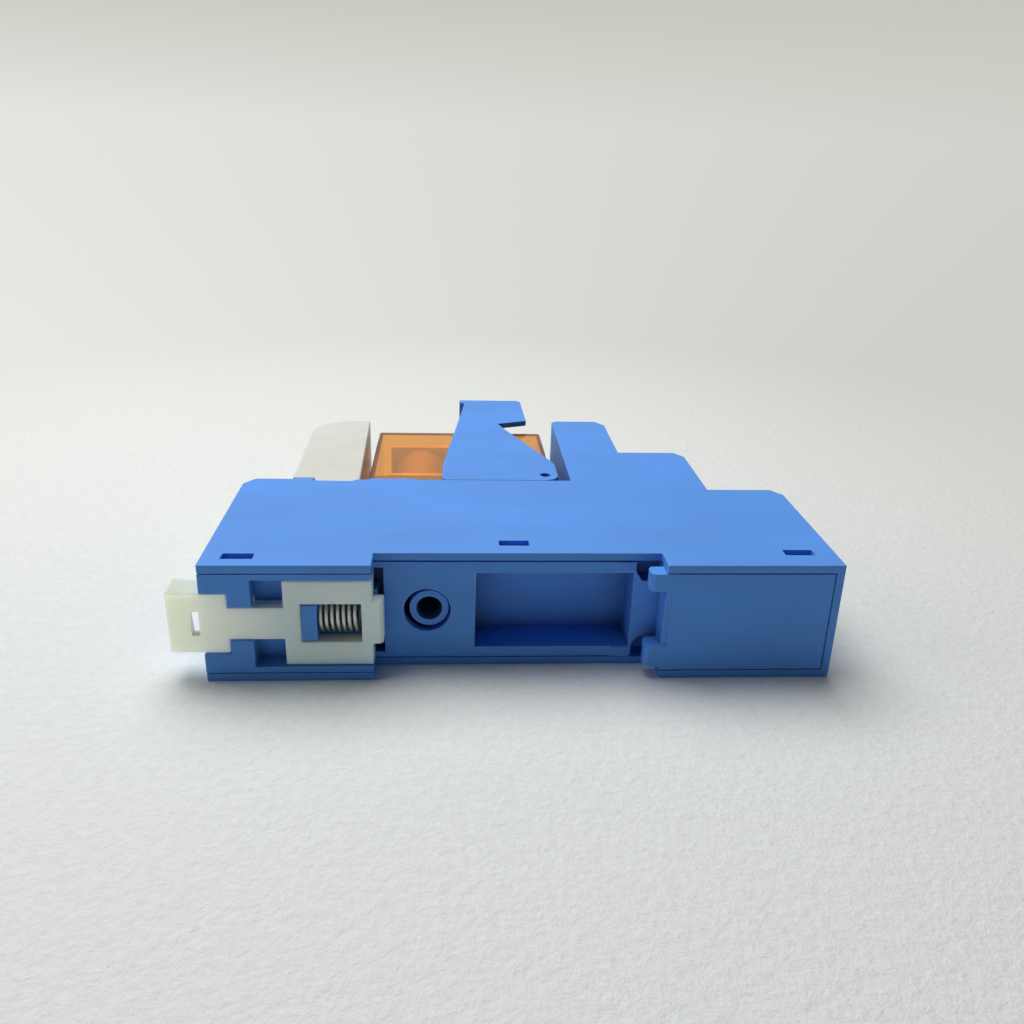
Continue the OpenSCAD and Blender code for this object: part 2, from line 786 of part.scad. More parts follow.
// Fork that grips a pin, on top of a riser
module fork(x, root, top, height) {
    run([x, root], [x, top - height]);
    difference() {
        translate([x - fork_w / 2, top - height]) square([fork_w, height]);
        translate([x - fork_gap / 2, top - height + bar_t]) square([fork_gap, height]);
    }
}

// Flat outline of the contact bar of a row
module bar_outline(row) {
    level = bar_mid(row);
    start = screw_x(row) + row_dir[row] * (cage_l / 2 - bar_t / 2);
    if (row == 0) {
        run([start, level], [coil_pin_x, level]);
        fork(coil_pin_x, level, y_fork, fork_h);
        fork(module_pin_x, level, module_fork_y, fork_h - 0.6);
    }
    if (row == 1) {
        run([start, level], [upper_run_x, level]);
        run([upper_run_x, level], [upper_run_x, upper_run_y]);
        run([upper_run_x, upper_run_y], [pin_x[2], upper_run_y]);
        fork(pin_x[2], upper_run_y, y_fork, fork_h);
    }
    if (row == 2) {
        run([start, level], [middle_run_x, level]);
        run([middle_run_x, level], [middle_run_x, middle_run_y]);
        run([middle_run_x, middle_run_y], [pin_x[1], middle_run_y]);
        fork(pin_x[1], middle_run_y, y_fork, fork_h);
    }
    if (row == 3) {
        run([start, level], [pin_x[0], level]);
        fork(pin_x[0], level, y_fork, fork_h);
    }
}

module contact_bar(row) {
    color(BRASS)
        translate([0, 0, term_z - bar_w / 2])
            linear_extrude(height = bar_w) bar_outline(row);
}

module relay_cover() {
    mid = (x_relay + x_relay_end) / 2;
    color(AMBER)
        difference() {
            translate([mid, y_seat, 0])
                rotate([-90, 0, 0])
                    linear_extrude(height = relay_h) rounded(relay_l, relay_w, 0.5);
            slab([x_relay + cover_t, x_relay_end - cover_t], [y_seat - cut, y_seat + relay_h - cover_t],
                 in_relay_z);
        }
}

module relay_base() {
    edge = cover_t + 0.05;
    slot_z = [pin_z - pin_w / 2 - 0.05, pin_z + pin_w / 2 + 0.05];
    color("#2b2b2b")
        difference() {
            slab([x_relay + edge, x_relay_end - edge], [y_seat, y_base], in_relay_z - 0.05);
            both_sides()
                for (x = concat(pin_x, [coil_pin_x]))
                    block([x - pin_t / 2 - 0.05, x + pin_t / 2 + 0.05], [y_seat - cut, y_base + cut], slot_z);
        }
}

module coil_bobbin() {
    tube_r = core_d / 2 + 0.6;
    flange_x = [coil_x - flange_l / 2, coil_x + flange_l / 2];
    color("#e8e2d0")
        difference() {
            union() {
                slab(flange_x, [y_coil, y_coil + flange_t], flange_w / 2);
                slab(flange_x, [y_pole - flange_t, y_pole], flange_w / 2);
                rod_y(coil_x, [y_coil, y_pole], 0, tube_r);
            }
            rod_y(coil_x, [y_coil - cut, y_pole + cut], 0, core_d / 2 + slot_fit);
        }
}

module coil_winding() {
    inner = core_d / 2 + 0.65;
    color("#a4572b")
        difference() {
            rod_y(coil_x, [y_coil + flange_t + 0.05, y_pole - flange_t - 0.05], 0, winding_d / 2);
            rod_y(coil_x, [y_coil, y_pole], 0, inner);
        }
}

module coil_core() {
    color(STEEL) {
        rod_y(coil_x, [y_base, y_pole], 0, core_d / 2 - 0.8);
        rod_y(coil_x, [y_coil, y_pole + pole_t], 0, core_d / 2);
        rod_y(coil_x, [y_pole, y_pole + pole_t], 0, core_d / 2 + 1);
    }
}

module yoke() {
    color(STEEL)
        difference() {
            union() {
                slab([yoke_foot_x, yoke_end], [y_base, y_coil], iron_w / 2);
                slab([yoke_x, yoke_end], [y_base, y_yoke], iron_w / 2);
            }
            rod_y(coil_x, [y_base - cut, y_coil + cut], 0, core_d / 2 - 0.75);
        }
}

// Turns a piece from the closed to the open place of the armature
module opened() {
    translate([yoke_end, y_yoke, 0])
        rotate([0, 0, -armature_swing])
            translate([-yoke_end, -y_yoke, 0])
                children();
}

module armature() {
    bottom = y_yoke + 0.05;
    leg_x = yoke_end + leg_gap;
    color(STEEL)
        opened() {
            slab([armature_x, leg_x + yoke_t], [bottom, bottom + yoke_t], iron_w / 2 - 0.3);
            slab([leg_x, leg_x + yoke_t], [y_yoke - leg_drop, bottom + yoke_t], iron_w / 2 - 0.3);
        }
}

module armature_card() {
    back = yoke_end + leg_gap + yoke_t;
    foot = y_yoke - leg_drop + card_drop;
    y = [foot, foot + card_h];
    color("#3a6b3a")
        opened() {
            slab([back, back + card_t], y, iron_w / 2 - 0.5);
            slab([back, blade_x - blade_t / 2 + 0.2], y, contact_z[0] - 0.6);
        }
}

module coil_pin() {
    color(BRASS)
        block([coil_pin_x - pin_t / 2, coil_pin_x + pin_t / 2], [y_seat - pin_l, y_coil - 0.05],
              [pin_z - pin_w / 2, pin_z + pin_w / 2]);
}

// Pin below a relay contact
module contact_pin(x, top) {
    block([x - pin_t / 2, x + pin_t / 2], [y_seat - pin_l, top], [pin_z - pin_w / 2, pin_z + pin_w / 2]);
}

module common_terminal() {
    x = pin_x[1];
    upright = blade_x + blade_t / 2 + 0.15;
    color(BRASS) {
        contact_pin(x, y_base + 0.4);
        block([x - pin_t / 2, upright + contact_t], [y_base, y_base + 0.4], contact_z);
        block([upright, upright + contact_t], [y_base, y_base + 3.8], contact_z);
    }
}

module contact_blade() {
    color(BRASS) {
        block([blade_x - blade_t / 2, blade_x + blade_t / 2], [y_base + 0.5, post_top], blade_z);
        rod_x([blade_x - blade_t / 2 - contact_gap, blade_x + blade_t / 2 + contact_gap],
              rivet_y, rivet_z, rivet_r);
    }
}

// Fixed contact: pin, foot, post and rivet
module fixed_contact(x, post, rivet) {
    color(BRASS) {
        contact_pin(x, y_base + contact_t);
        block([min(x - pin_t / 2, post), max(x + pin_t / 2, post + contact_t)],
              [y_base, y_base + contact_t], contact_z);
        block([post, post + contact_t], [y_base, post_top], contact_z);
        rod_x(rivet, rivet_y, rivet_z, rivet_r);
    }
}

module closed_contact() {
    face = blade_x - blade_t / 2 - contact_gap - 0.1;
    post = face - contact_gap - contact_t;
    fixed_contact(pin_x[0], post, [post, face]);
}

module open_contact() {
    face = blade_x + blade_t / 2 + 2 * contact_gap;
    post = face + contact_gap;
    fixed_contact(pin_x[2], post, [face, post + contact_t]);
}

// Side outline of the module cover, drawn in by a wall thickness
module module_outline(t) {
    bow = 7;
    shoulder = module_top - 5.6;
    left = module_x0 - 0.3 + t;
    right = module_x1 - t;
    intersection() {
        polygon([
            [left + 0.3, module_foot - (t > 0 ? cut : 0)], [left, shoulder], [left, module_top],
            [right - 0.8, module_top - t], [right, module_foot - (t > 0 ? cut : 0)]
        ]);
        union() {
            translate([left - cut, module_foot - cut])
                square([module_l + 2 * cut, shoulder - module_foot + cut]);
            translate([left + bow, module_top - bow - t]) circle(bow);
            translate([left + bow, module_foot]) square([module_l, module_top - module_foot - t]);
            translate([left, shoulder - cut]) square([module_l, module_top - bow - t - shoulder + cut]);
        }
    }
}

module module_cover() {
    ridge = 1;
    color(MILK)
        difference() {
            union() {
                linear_extrude(height = 2 * arm_z, center = true) module_outline(0);
                both_sides()
                    block(tongue_x, [y_deck - notch_drop + 0.1, y_deck + cut], [in_z + 0.1, arm_z]);
            }
            linear_extrude(height = 2 * (arm_z - module_wall), center = true) module_outline(module_wall);
            both_sides()
                block([module_x0 - cut, tongue_x[0] - 0.1], [y_deck - cut, y_deck + ridge],
                      [in_z - 0.3, half_w]);
        }
}

module module_board() {
    color("#2f6b45")
        slab([board_x, board_x + board_t], [y_deck + 0.6, board_top], arm_z - module_wall - 0.1);
}

module module_led() {
    x = board_x + board_t / 2;
    color("#7fd07a") {
        rod_y(x, [board_top, board_top + led_h], 0, led_r);
        translate([x, board_top + led_h, 0]) sphere(led_r);
    }
}

module module_diode() {
    x = board_x - diode_r - 0.05;
    y = (y_deck + module_top) / 2;
    color("#303030") {
        rod_y(x, [y - diode_l / 2, y + diode_l / 2], 0, diode_r);
        rod_y(x, [y - lead_l / 2, y + lead_l / 2], 0, lead_r);
    }
}

module module_pin() {
    color(BRASS)
        block([module_pin_x - pin_t / 2, module_pin_x + pin_t / 2], [module_pin_tip, module_pin_root],
              [term_z - pin_w / 2, term_z + pin_w / 2]);
}

housing();
base();
rail_clip();
rail_clip_spring();
lever();
for (row = [0:3], side = [0:1]) {
    on_side(side) terminal_screw(row);
    on_side(side) terminal_cage(row);
    on_side(side) contact_bar(row);
}
relay_cover();
relay_base();
coil_bobbin();
coil_winding();
coil_core();
yoke();
armature();
armature_card();
coil_pin();  // coil_pin_a
on_side(1) coil_pin();  // coil_pin_b
common_terminal();  // common_terminal_a
on_side(1) common_terminal();  // common_terminal_b
contact_blade();  // contact_blade_a
on_side(1) contact_blade();  // contact_blade_b
closed_contact();  // closed_contact_a
on_side(1) closed_contact();  // closed_contact_b
open_contact();  // open_contact_a
on_side(1) open_contact();  // open_contact_b
module_cover();
module_board();
module_led();
module_diode();
module_pin();  // module_pin_a
on_side(1) module_pin();  // module_pin_b
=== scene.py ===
"""Plug-in relay in its rail socket: moulded edges, finishes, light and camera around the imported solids."""

import logging
import math
from contextlib import contextmanager
from dataclasses import dataclass, field, replace
from enum import Enum
from typing import Any, Iterator, Optional, Union

import bmesh
import bpy
from mathutils import Matrix, Vector


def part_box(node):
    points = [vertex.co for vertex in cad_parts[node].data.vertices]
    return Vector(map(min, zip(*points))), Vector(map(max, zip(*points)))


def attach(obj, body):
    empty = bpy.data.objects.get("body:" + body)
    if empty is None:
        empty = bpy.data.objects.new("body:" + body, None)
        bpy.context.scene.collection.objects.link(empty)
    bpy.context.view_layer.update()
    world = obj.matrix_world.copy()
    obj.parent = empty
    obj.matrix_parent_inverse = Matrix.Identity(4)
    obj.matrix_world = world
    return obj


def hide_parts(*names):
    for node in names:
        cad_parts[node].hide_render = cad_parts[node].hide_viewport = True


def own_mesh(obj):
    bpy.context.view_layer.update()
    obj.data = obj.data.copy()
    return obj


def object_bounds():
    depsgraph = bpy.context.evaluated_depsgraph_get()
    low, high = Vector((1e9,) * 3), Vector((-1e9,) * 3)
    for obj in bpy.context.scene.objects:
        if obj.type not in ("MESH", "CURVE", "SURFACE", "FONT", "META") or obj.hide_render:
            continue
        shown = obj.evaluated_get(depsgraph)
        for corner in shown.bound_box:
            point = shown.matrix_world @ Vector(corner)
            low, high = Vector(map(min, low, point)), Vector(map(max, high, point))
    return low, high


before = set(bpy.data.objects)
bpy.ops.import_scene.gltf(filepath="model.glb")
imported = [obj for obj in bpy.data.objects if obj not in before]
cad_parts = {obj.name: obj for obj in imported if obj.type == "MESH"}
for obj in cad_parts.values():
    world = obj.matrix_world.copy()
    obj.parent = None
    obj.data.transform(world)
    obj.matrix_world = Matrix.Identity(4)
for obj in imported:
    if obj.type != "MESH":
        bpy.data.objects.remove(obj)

CAD_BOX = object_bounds()
MM = 0.001
SIDES = ("a", "b")

# Corners nearer than this become one.
MERGE_MM = 0.002
# Neighbouring faces within this angle count as one flat face.
FLAT = math.radians(1.0)
# Edges above this angle are rounded.
SHARP = math.radians(35.0)
# Faces further apart than this share no corner normal.
EDGE_STEP = math.radians(60.0)
# Faces within this angle belong to one arc.
ARC_STEP = math.radians(24.0)
# The spring's wire is shaded smoothly up to this angle.
WIRE_STEP = math.radians(50.0)
# Widths of the rounding that an edge needs along itself.
ROOM = 2.0
# Widths of the rounding that a triangle needs across itself.
SLIVER = 1.5
# Faces across a rounded edge.
ROUND_STEPS = 2
# Material slots that tell flat faces from rounded edges until the normals are set.
FLAT_SLOT, ROUND_SLOT = 0, 1
# Sockets of the Mix node that belong to colours.
MIX_SHARE, MIX_FIRST, MIX_SECOND, MIX_RESULT = 0, 6, 7, 2
# Kinds of rays that see the backdrop.
SEEING = ("Camera", "Glossy", "Transmission")
NO_LIGHT = (0.0, 0.0, 0.0)

Triple = tuple[float, float, float]
Colour = tuple[float, float, float]
Span = tuple[float, float]
Operand = Union["Wire", float]

log = logging.getLogger("relay_scene")


class Edge(Enum):
    """How far a moulded or stamped edge is rounded, in millimetres."""

    CRISP = 0.06
    MOULDED = 0.13
    SOFT = 0.22


class Lamp(Enum):
    """The soft lamps of the studio."""

    TOP = "top_softbox"
    LEFT = "left_softbox"
    FILL = "front_fill"


@dataclass(frozen=True)
class Pattern:
    """A noise pattern of a finish.

    Args:
        size_mm: size of a blotch in millimetres.
        detail: number of finer layers.
        roughness: weight of the finer layers.
        span: noise that counts as none and as full.
        stretch: factors along X, Y and Z where the pattern is drawn out.
    """

    size_mm: float
    detail: float = 3.0
    roughness: float = 0.5
    span: Span = (0.3, 0.7)
    stretch: Optional[Triple] = None


SPARKED = Pattern(0.16, detail=2.0, roughness=0.6, span=(0.35, 0.75))
DRAWN = Pattern(0.10, span=(0.3, 0.8), stretch=(0.06, 1.0, 1.0))


@dataclass
class Wire:
    """A shader output that takes part in Python expressions.

    Args:
        graph: the graph that owns the socket.
        socket: the output socket.
    """

    graph: "Graph"
    socket: bpy.types.NodeSocket

    def _math(self, operation: str, first: Operand, second: Operand) -> "Wire":
        """Adds one Math node.

        Args:
            operation: name of the Math operation.
            first: left operand.
            second: right operand.

        Returns:
            The result as a wire.
        """
        return self.graph.add("ShaderNodeMath", {"operation": operation}, {0: first, 1: second})

    def __add__(self, other: Operand) -> "Wire":
        """Sum with a wire or a number."""
        return self._math("ADD", self, other)

    def __radd__(self, other: Operand) -> "Wire":
        """Sum with a number on the left."""
        return self._math("ADD", other, self)

    def __sub__(self, other: Operand) -> "Wire":
        """Difference with a wire or a number."""
        return self._math("SUBTRACT", self, other)

    def __rsub__(self, other: Operand) -> "Wire":
        """Difference with a number on the left."""
        return self._math("SUBTRACT", other, self)

    def __mul__(self, other: Operand) -> "Wire":
        """Product with a wire or a number."""
        return self._math("MULTIPLY", self, other)

    def __rmul__(self, other: Operand) -> "Wire":
        """Product with a number on the left."""
        return self._math("MULTIPLY", other, self)

    def between(self, low: float, high: float) -> "Wire":
        """Maps low to 0 and high to 1 and clamps the rest.

        Args:
            low: value that becomes 0.
            high: value that becomes 1.

        Returns:
            The mapped wire.
        """
        inputs = {"Value": self, "From Min": low, "From Max": high}
        return self.graph.add("ShaderNodeMapRange", {"clamp": True}, inputs, "Result")


class Graph:
    """A node tree, built from expressions."""

    def __init__(self, tree: bpy.types.NodeTree) -> None:
        """Starts from an empty tree.

        Args:
            tree: the tree of a material or a world.
        """
        self.tree = tree
        self.tree.nodes.clear()

    def add(self, kind: str, settings: dict[str, Any], inputs: dict[Any, Any],
            output: Union[str, int] = 0) -> Wire:
        """Adds any node.

        Args:
            kind: Blender's type name of the node.
            settings: properties set before the sockets.
            inputs: socket name or index to a value or a wire.
            output: name or index of the output to return.

        Returns:
            The chosen output as a wire.
        """
        node = self.tree.nodes.new(kind)
        for key, value in settings.items():
            setattr(node, key, value)
        for key, value in inputs.items():
            self.feed(node.inputs[key], value)
        return Wire(self, node.outputs[output])

    def feed(self, socket: bpy.types.NodeSocket, value: Any) -> None:
        """Links a wire to a socket, or sets its value.

        Args:
            socket: the input socket.
            value: a wire, a number or a sequence.
        """
        if isinstance(value, Wire):
            self.tree.links.new(value.socket, socket)
        else:
            socket.default_value = value

    def place(self, stretch: Optional[Triple] = None) -> Wire:
        """Object coordinates, scaled where a pattern is drawn out.

        Args:
            stretch: factors along X, Y and Z.

        Returns:
            The coordinates as a wire.
        """
        coordinates = self.add("ShaderNodeTexCoord", {}, {}, "Object")
        if stretch is None:
            return coordinates
        return self.add("ShaderNodeMapping", {}, {"Vector": coordinates, "Scale": stretch})

    def part(self, vector: Wire, axis: str) -> Wire:
        """The part of a vector along one axis."""
        return self.add("ShaderNodeSeparateXYZ", {}, {"Vector": vector}, axis)

    def dot(self, first: Wire, second: Any) -> Wire:
        """Scalar product of two directions."""
        return self.add("ShaderNodeVectorMath", {"operation": "DOT_PRODUCT"}, {0: first, 1: second}, "Value")

    def noise(self, pattern: Pattern) -> Wire:
        """Noise of a pattern, as it comes.

        Args:
            pattern: size, layers and stretch of the noise.

        Returns:
            The noise from 0 to 1.
        """
        inputs = {"Vector": self.place(pattern.stretch), "Scale": 1.0 / (pattern.size_mm * MM),
                  "Detail": pattern.detail, "Roughness": pattern.roughness}
        return self.add("ShaderNodeTexNoise", {}, inputs, "Fac")

    def blotches(self, pattern: Pattern) -> Wire:
        """Noise of a pattern, from 0 to 1 over its span."""
        return self.noise(pattern).between(*pattern.span)

    def mix(self, share: Operand, first: Any, second: Any) -> Wire:
        """Blends two colours.

        Args:
            share: share of the second colour.
            first: colour or wire at 0.
            second: colour or wire at 1.

        Returns:
            The blended colour.
        """
        inputs = {MIX_SHARE: share, MIX_FIRST: rgba(first), MIX_SECOND: rgba(second)}
        return self.add("ShaderNodeMix", {"data_type": "RGBA", "clamp_factor": True}, inputs, MIX_RESULT)

    def blend(self, share: Wire, first: Wire, second: Wire) -> Wire:
        """Blends two shaders, with the share of the second."""
        return self.add("ShaderNodeMixShader", {}, {0: share, 1: first, 2: second})

    def edge_wear(self, radius_mm: float, span: Span = (0.01, 0.25), samples: int = 6) -> Wire:
        """Mask of the convex and concave edges.

        Args:
            radius_mm: reach of the mask from an edge.
            span: lean of the surface that counts as none and as full.
            samples: rays that look for an edge.

        Returns:
            0 on flat faces, towards 1 at an edge.
        """
        rounded = self.add("ShaderNodeBevel", {"samples": samples}, {"Radius": radius_mm * MM})
        true = self.add("ShaderNodeNewGeometry", {}, {}, "True Normal")
        return (1.0 - self.dot(rounded, true)).between(*span)

    def recess(self, reach_mm: float, span: Span = (0.40, 0.9), samples: int = 8) -> Wire:
        """Mask of the deep corners and holes of the piece itself.

        Args:
            reach_mm: how far away a wall still shuts a place in.
            span: share shut in that counts as none and as full.
            samples: rays that look for a wall.

        Returns:
            0 in the open, towards 1 deep inside.
        """
        settings = {"samples": samples, "only_local": True}
        clear = self.add("ShaderNodeAmbientOcclusion", settings, {"Distance": reach_mm * MM}, "AO")
        return (1.0 - clear).between(*span)

    def rays(self, *kinds: str) -> Wire:
        """Tells rays of some kinds from the rest.

        Args:
            kinds: names of the kinds, such as Camera or Shadow.

        Returns:
            1 for rays of these kinds, 0 for the rest.
        """
        total = self.add("ShaderNodeLightPath", {}, {}, f"Is {kinds[0]} Ray")
        for kind in kinds[1:]:
            total = total + self.add("ShaderNodeLightPath", {}, {}, f"Is {kind} Ray")
        return total.between(0.0, 1.0)

    def bump(self, height: Wire, depth_mm: float) -> Wire:
        """Normal of a relief from 0 to 1, with its depth in millimetres."""
        return self.add("ShaderNodeBump", {}, {"Distance": depth_mm * MM, "Height": height})


class Surface(Graph):
    """A material with one Principled shader."""

    def __init__(self, name: str) -> None:
        """Starts the material.

        Args:
            name: name of the material.
        """
        self.material = bpy.data.materials.new(name)
        self.material.use_nodes = True
        super().__init__(self.material.node_tree)
        self.output = self.tree.nodes.new("ShaderNodeOutputMaterial")
        self.shader = self.tree.nodes.new("ShaderNodeBsdfPrincipled")
        self.tree.links.new(self.shader.outputs[0], self.output.inputs["Surface"])

    def principled(self) -> Wire:
        """The shader itself, for blending with another."""
        return Wire(self, self.shader.outputs[0])

    def set(self, **values: Any) -> None:
        """Sets or links the shader's sockets, with spaces written as underscores."""
        for key, value in values.items():
            self.feed(self.shader.inputs[key.replace("_", " ")], value)


def rgba(colour: Any) -> Any:
    """Adds an opaque alpha to a colour, and leaves a wire as it is."""
    return colour if isinstance(colour, Wire) else (*colour, 1.0)


def shade(colour: Colour, factor: float) -> Colour:
    """A darker or lighter version of a colour."""
    return tuple(min(1.0, channel * factor) for channel in colour)


@dataclass(frozen=True)
class Finish:
    """A surface finish, made once and shared by its pieces.

    Args:
        name: name of the material.
        colour: linear colour of the surface.
        roughness: mean roughness.
    """

    name: str
    colour: Colour
    roughness: float

    def material(self) -> bpy.types.Material:
        """Makes the finish on first use.

        Returns:
            The finish as a material.
        """
        known = bpy.data.materials.get(self.name)
        if known:
            return known
        graph = Surface(self.name)
        self.paint(graph)
        return graph.material

    def paint(self, graph: Surface) -> None:
        """Draws the finish; each kind of finish has its own."""
        raise NotImplementedError


@dataclass(frozen=True)
class MouldedPlastic(Finish):
    """Injection-moulded plastic with a fine sparked grain, flow marks and rubbed edges.

    Args:
        grain: the sparked grain.
        grain_depth_mm: depth of the grain.
        grain_share: how far the hollows of the grain are darkened.
        grain_shade: shade of the hollows.
        grain_dull: roughness that the grain adds.
        flow: the flow marks.
        flow_shades: darkest and lightest shade of the flow marks.
        flow_dull: roughness that the flow marks add.
        handling: places that hands have rubbed.
        polish: roughness that the rubbing takes away.
        worn: how much paler the rubbed edges are.
        worn_mm: reach of the rubbing from an edge.
        worn_tone: grey that the colour of a rubbed edge goes half way to.
        recess_shade: how much darker the recesses are, as painted shade.
        recess_shade_mm: how far away the walls of a recess may be.
        recess_shade_colour: colour of the painted shade deep inside a recess.
        specular: specular level of the surface.
        index: refractive index.
    """

    grain: Pattern = SPARKED
    grain_depth_mm: float = 0.006
    grain_share: float = 0.18
    grain_shade: float = 0.78
    grain_dull: float = 0.05
    flow: Pattern = Pattern(9.0, detail=4.0, stretch=(0.5, 1.0, 1.0))
    flow_shades: Span = (0.93, 1.06)
    flow_dull: float = 0.10
    handling: Pattern = Pattern(3.2, detail=6.0, roughness=0.7, span=(0.52, 0.75))
    polish: float = 0.07
    worn: float = 0.35
    worn_mm: float = 0.28
    worn_tone: float = 0.75
    recess_shade: float = 0.8
    recess_shade_mm: float = 8.0
    recess_shade_colour: Colour = (0.020, 0.018, 0.022)
    specular: float = 0.4
    index: float = 1.5

    def paint(self, graph: Surface) -> None:
        """Draws grain, flow marks, handling marks, edges, and painted shade in the recesses.

        Args:
            graph: graph of the material.
        """
        flow = graph.noise(self.flow)
        grain = graph.noise(self.grain)
        handled = graph.blotches(self.handling)
        dark, light = (shade(self.colour, tone) for tone in self.flow_shades)
        body = graph.mix(flow.between(*self.flow.span), dark, light)
        hollows = grain.between(*self.grain.span) * self.grain_share
        body = graph.mix(hollows, body, shade(self.colour, self.grain_shade))
        pale = tuple(channel + (self.worn_tone - channel) * 0.5 for channel in self.colour)
        body = graph.mix(graph.edge_wear(self.worn_mm) * self.worn, body, pale)
        # Painted shade: the piece's own recesses darken towards a near-black.
        body = graph.mix(graph.recess(self.recess_shade_mm) * self.recess_shade, body, self.recess_shade_colour)
        rough = self.roughness + self.flow_dull * flow - self.polish * handled + self.grain_dull * grain
        graph.set(Base_Color=body, Roughness=rough, IOR=self.index)
        graph.set(Normal=graph.bump(grain, self.grain_depth_mm), Specular_IOR_Level=self.specular)


@dataclass(frozen=True)
class Nylon(Finish):
    """Unfilled nylon: waxy, slightly see-through, tinted towards the handled tab end, partly yellowed with
    age and partly painted with the tint of light coming through.

    Args:
        aged_lit_tint: colour of the tab end, partly yellowed with age and partly a painted tint of light
            coming through.
        aged_lit_share: how far the tab end takes that colour.
        full_tint_x_mm: place along X where the tint is full.
        no_tint_x_mm: place along X where it has gone.
        cloud: cloudiness of the nylon.
        cloud_share: how far the clouds are darkened.
        cloud_shade: shade of the clouds.
        cloud_dull: roughness that the clouds add.
        speck: specks of dirt.
        speck_share: how far the specks show.
        speck_colour: colour of the specks.
        skin: relief of the waxy surface.
        skin_depth_mm: depth of the relief.
        index: refractive index.
        glow_mm: how far light wanders inside it.
        glow_reach: the same by colour, as shares.
        lamp: direction towards the lamp, which places the painted shade and the painted glow.
        lit: turn towards the lamp at which the painted shade begins, and is full.
        lit_face_shade: how far the tab end's faces turned to the lamp are darkened, as painted shade.
        unlit: turn towards the lamp at which the painted glow begins, and is full.
        painted_glow_strength: strength of the painted glow, which stands in for light that comes through it.
        thick_glow_colour: colour of the painted glow where the clip is thick.
    """

    aged_lit_tint: Colour = (0.89, 0.91, 0.72)
    aged_lit_share: float = 0.75
    full_tint_x_mm: float = -41.0
    no_tint_x_mm: float = -29.0
    cloud: Pattern = Pattern(2.4, detail=4.0, span=(0.35, 0.75))
    cloud_share: float = 0.22
    cloud_shade: float = 0.82
    cloud_dull: float = 0.12
    speck: Pattern = Pattern(0.35, detail=2.0, span=(0.72, 0.80))
    speck_share: float = 0.35
    speck_colour: Colour = (0.42, 0.40, 0.30)
    skin: Pattern = Pattern(0.5)
    skin_depth_mm: float = 0.004
    index: float = 1.53
    glow_mm: float = 1.4
    glow_reach: Triple = (1.0, 0.95, 0.8)
    lamp: Triple = (-0.16, 0.39, 0.91)
    lit: Span = (0.5, 0.85)
    lit_face_shade: float = 0.22
    unlit: Span = (0.15, -0.35)
    painted_glow_strength: float = 0.28
    thick_glow_colour: Colour = (0.03, 0.125, 0.11)

    def paint(self, graph: Surface) -> None:
        """Draws the tinted end, clouds, specks, a waxy surface, the light wandering inside, painted shade on
        the end's lit faces and a painted glow on faces turned from the lamp.

        Args:
            graph: graph of the material.
        """
        tab_end = graph.part(graph.place(), "X").between(self.no_tint_x_mm * MM, self.full_tint_x_mm * MM)
        turned = graph.dot(graph.add("ShaderNodeNewGeometry", {}, {}, "Normal"), self.lamp)
        cloud = graph.noise(self.cloud)
        # The tab end's tint is partly yellowing by age and partly painted colour of light coming through.
        body = graph.mix(tab_end * self.aged_lit_share, self.colour, self.aged_lit_tint)
        clouded = cloud.between(*self.cloud.span) * self.cloud_share
        body = graph.mix(clouded, body, shade(self.colour, self.cloud_shade))
        body = graph.mix(graph.blotches(self.speck) * self.speck_share, body, self.speck_colour)
        # Painted shade: the tab end's faces turned to the lamp are darkened towards black.
        body = graph.mix(turned.between(*self.lit) * tab_end * self.lit_face_shade, body, NO_LIGHT)
        graph.set(Base_Color=body, Roughness=self.roughness + self.cloud_dull * cloud, IOR=self.index)
        graph.set(Normal=graph.bump(graph.noise(self.skin), self.skin_depth_mm))
        # Painted glow: faces turned from the lamp emit light, standing in for light that passes through the
        # nylon.
        inside = graph.mix(tab_end, self.thick_glow_colour, self.aged_lit_tint)
        through = graph.mix(turned.between(*self.unlit), NO_LIGHT, inside)
        graph.set(Emission_Color=through, Emission_Strength=self.painted_glow_strength)
        graph.set(Subsurface_Weight=1.0, Subsurface_Radius=self.glow_reach,
                  Subsurface_Scale=self.glow_mm * MM)


@dataclass(frozen=True)
class Metal(Finish):
    """Drawn, rolled or plated metal with fine lines and dull patches.

    Args:
        lines: the drawing lines.
        line_share: how far the lines are darkened.
        line_shade: shade of the lines.
        line_dull: roughness that the lines add.
        line_depth_mm: depth of the lines.
        patches: the dull patches.
        tarnish: colour of the patches.
        dull: share of the patches that shows.
        patch_dull: roughness that the patches add.
        oxide: how much less metallic the patches are.
    """

    lines: Pattern = DRAWN
    line_share: float = 0.2
    line_shade: float = 0.7
    line_dull: float = 0.08
    line_depth_mm: float = 0.003
    patches: Pattern = Pattern(1.8, detail=5.0, roughness=0.6, span=(0.45, 0.75))
    tarnish: Colour = (0.22, 0.20, 0.17)
    dull: float = 0.3
    patch_dull: float = 0.14
    oxide: float = 0.25

    def paint(self, graph: Surface) -> None:
        """Draws lines, tarnish and a soft gloss.

        Args:
            graph: graph of the material.
        """
        lines = graph.noise(self.lines)
        patches = graph.blotches(self.patches)
        body = graph.mix(patches * self.dull, self.colour, self.tarnish)
        drawn = lines.between(*self.lines.span) * self.line_share
        body = graph.mix(drawn, body, shade(self.colour, self.line_shade))
        rough = self.roughness + self.patch_dull * patches + self.line_dull * lines
        graph.set(Base_Color=body, Roughness=rough, Metallic=1.0 - self.oxide * patches)
        graph.set(Normal=graph.bump(lines, self.line_depth_mm))


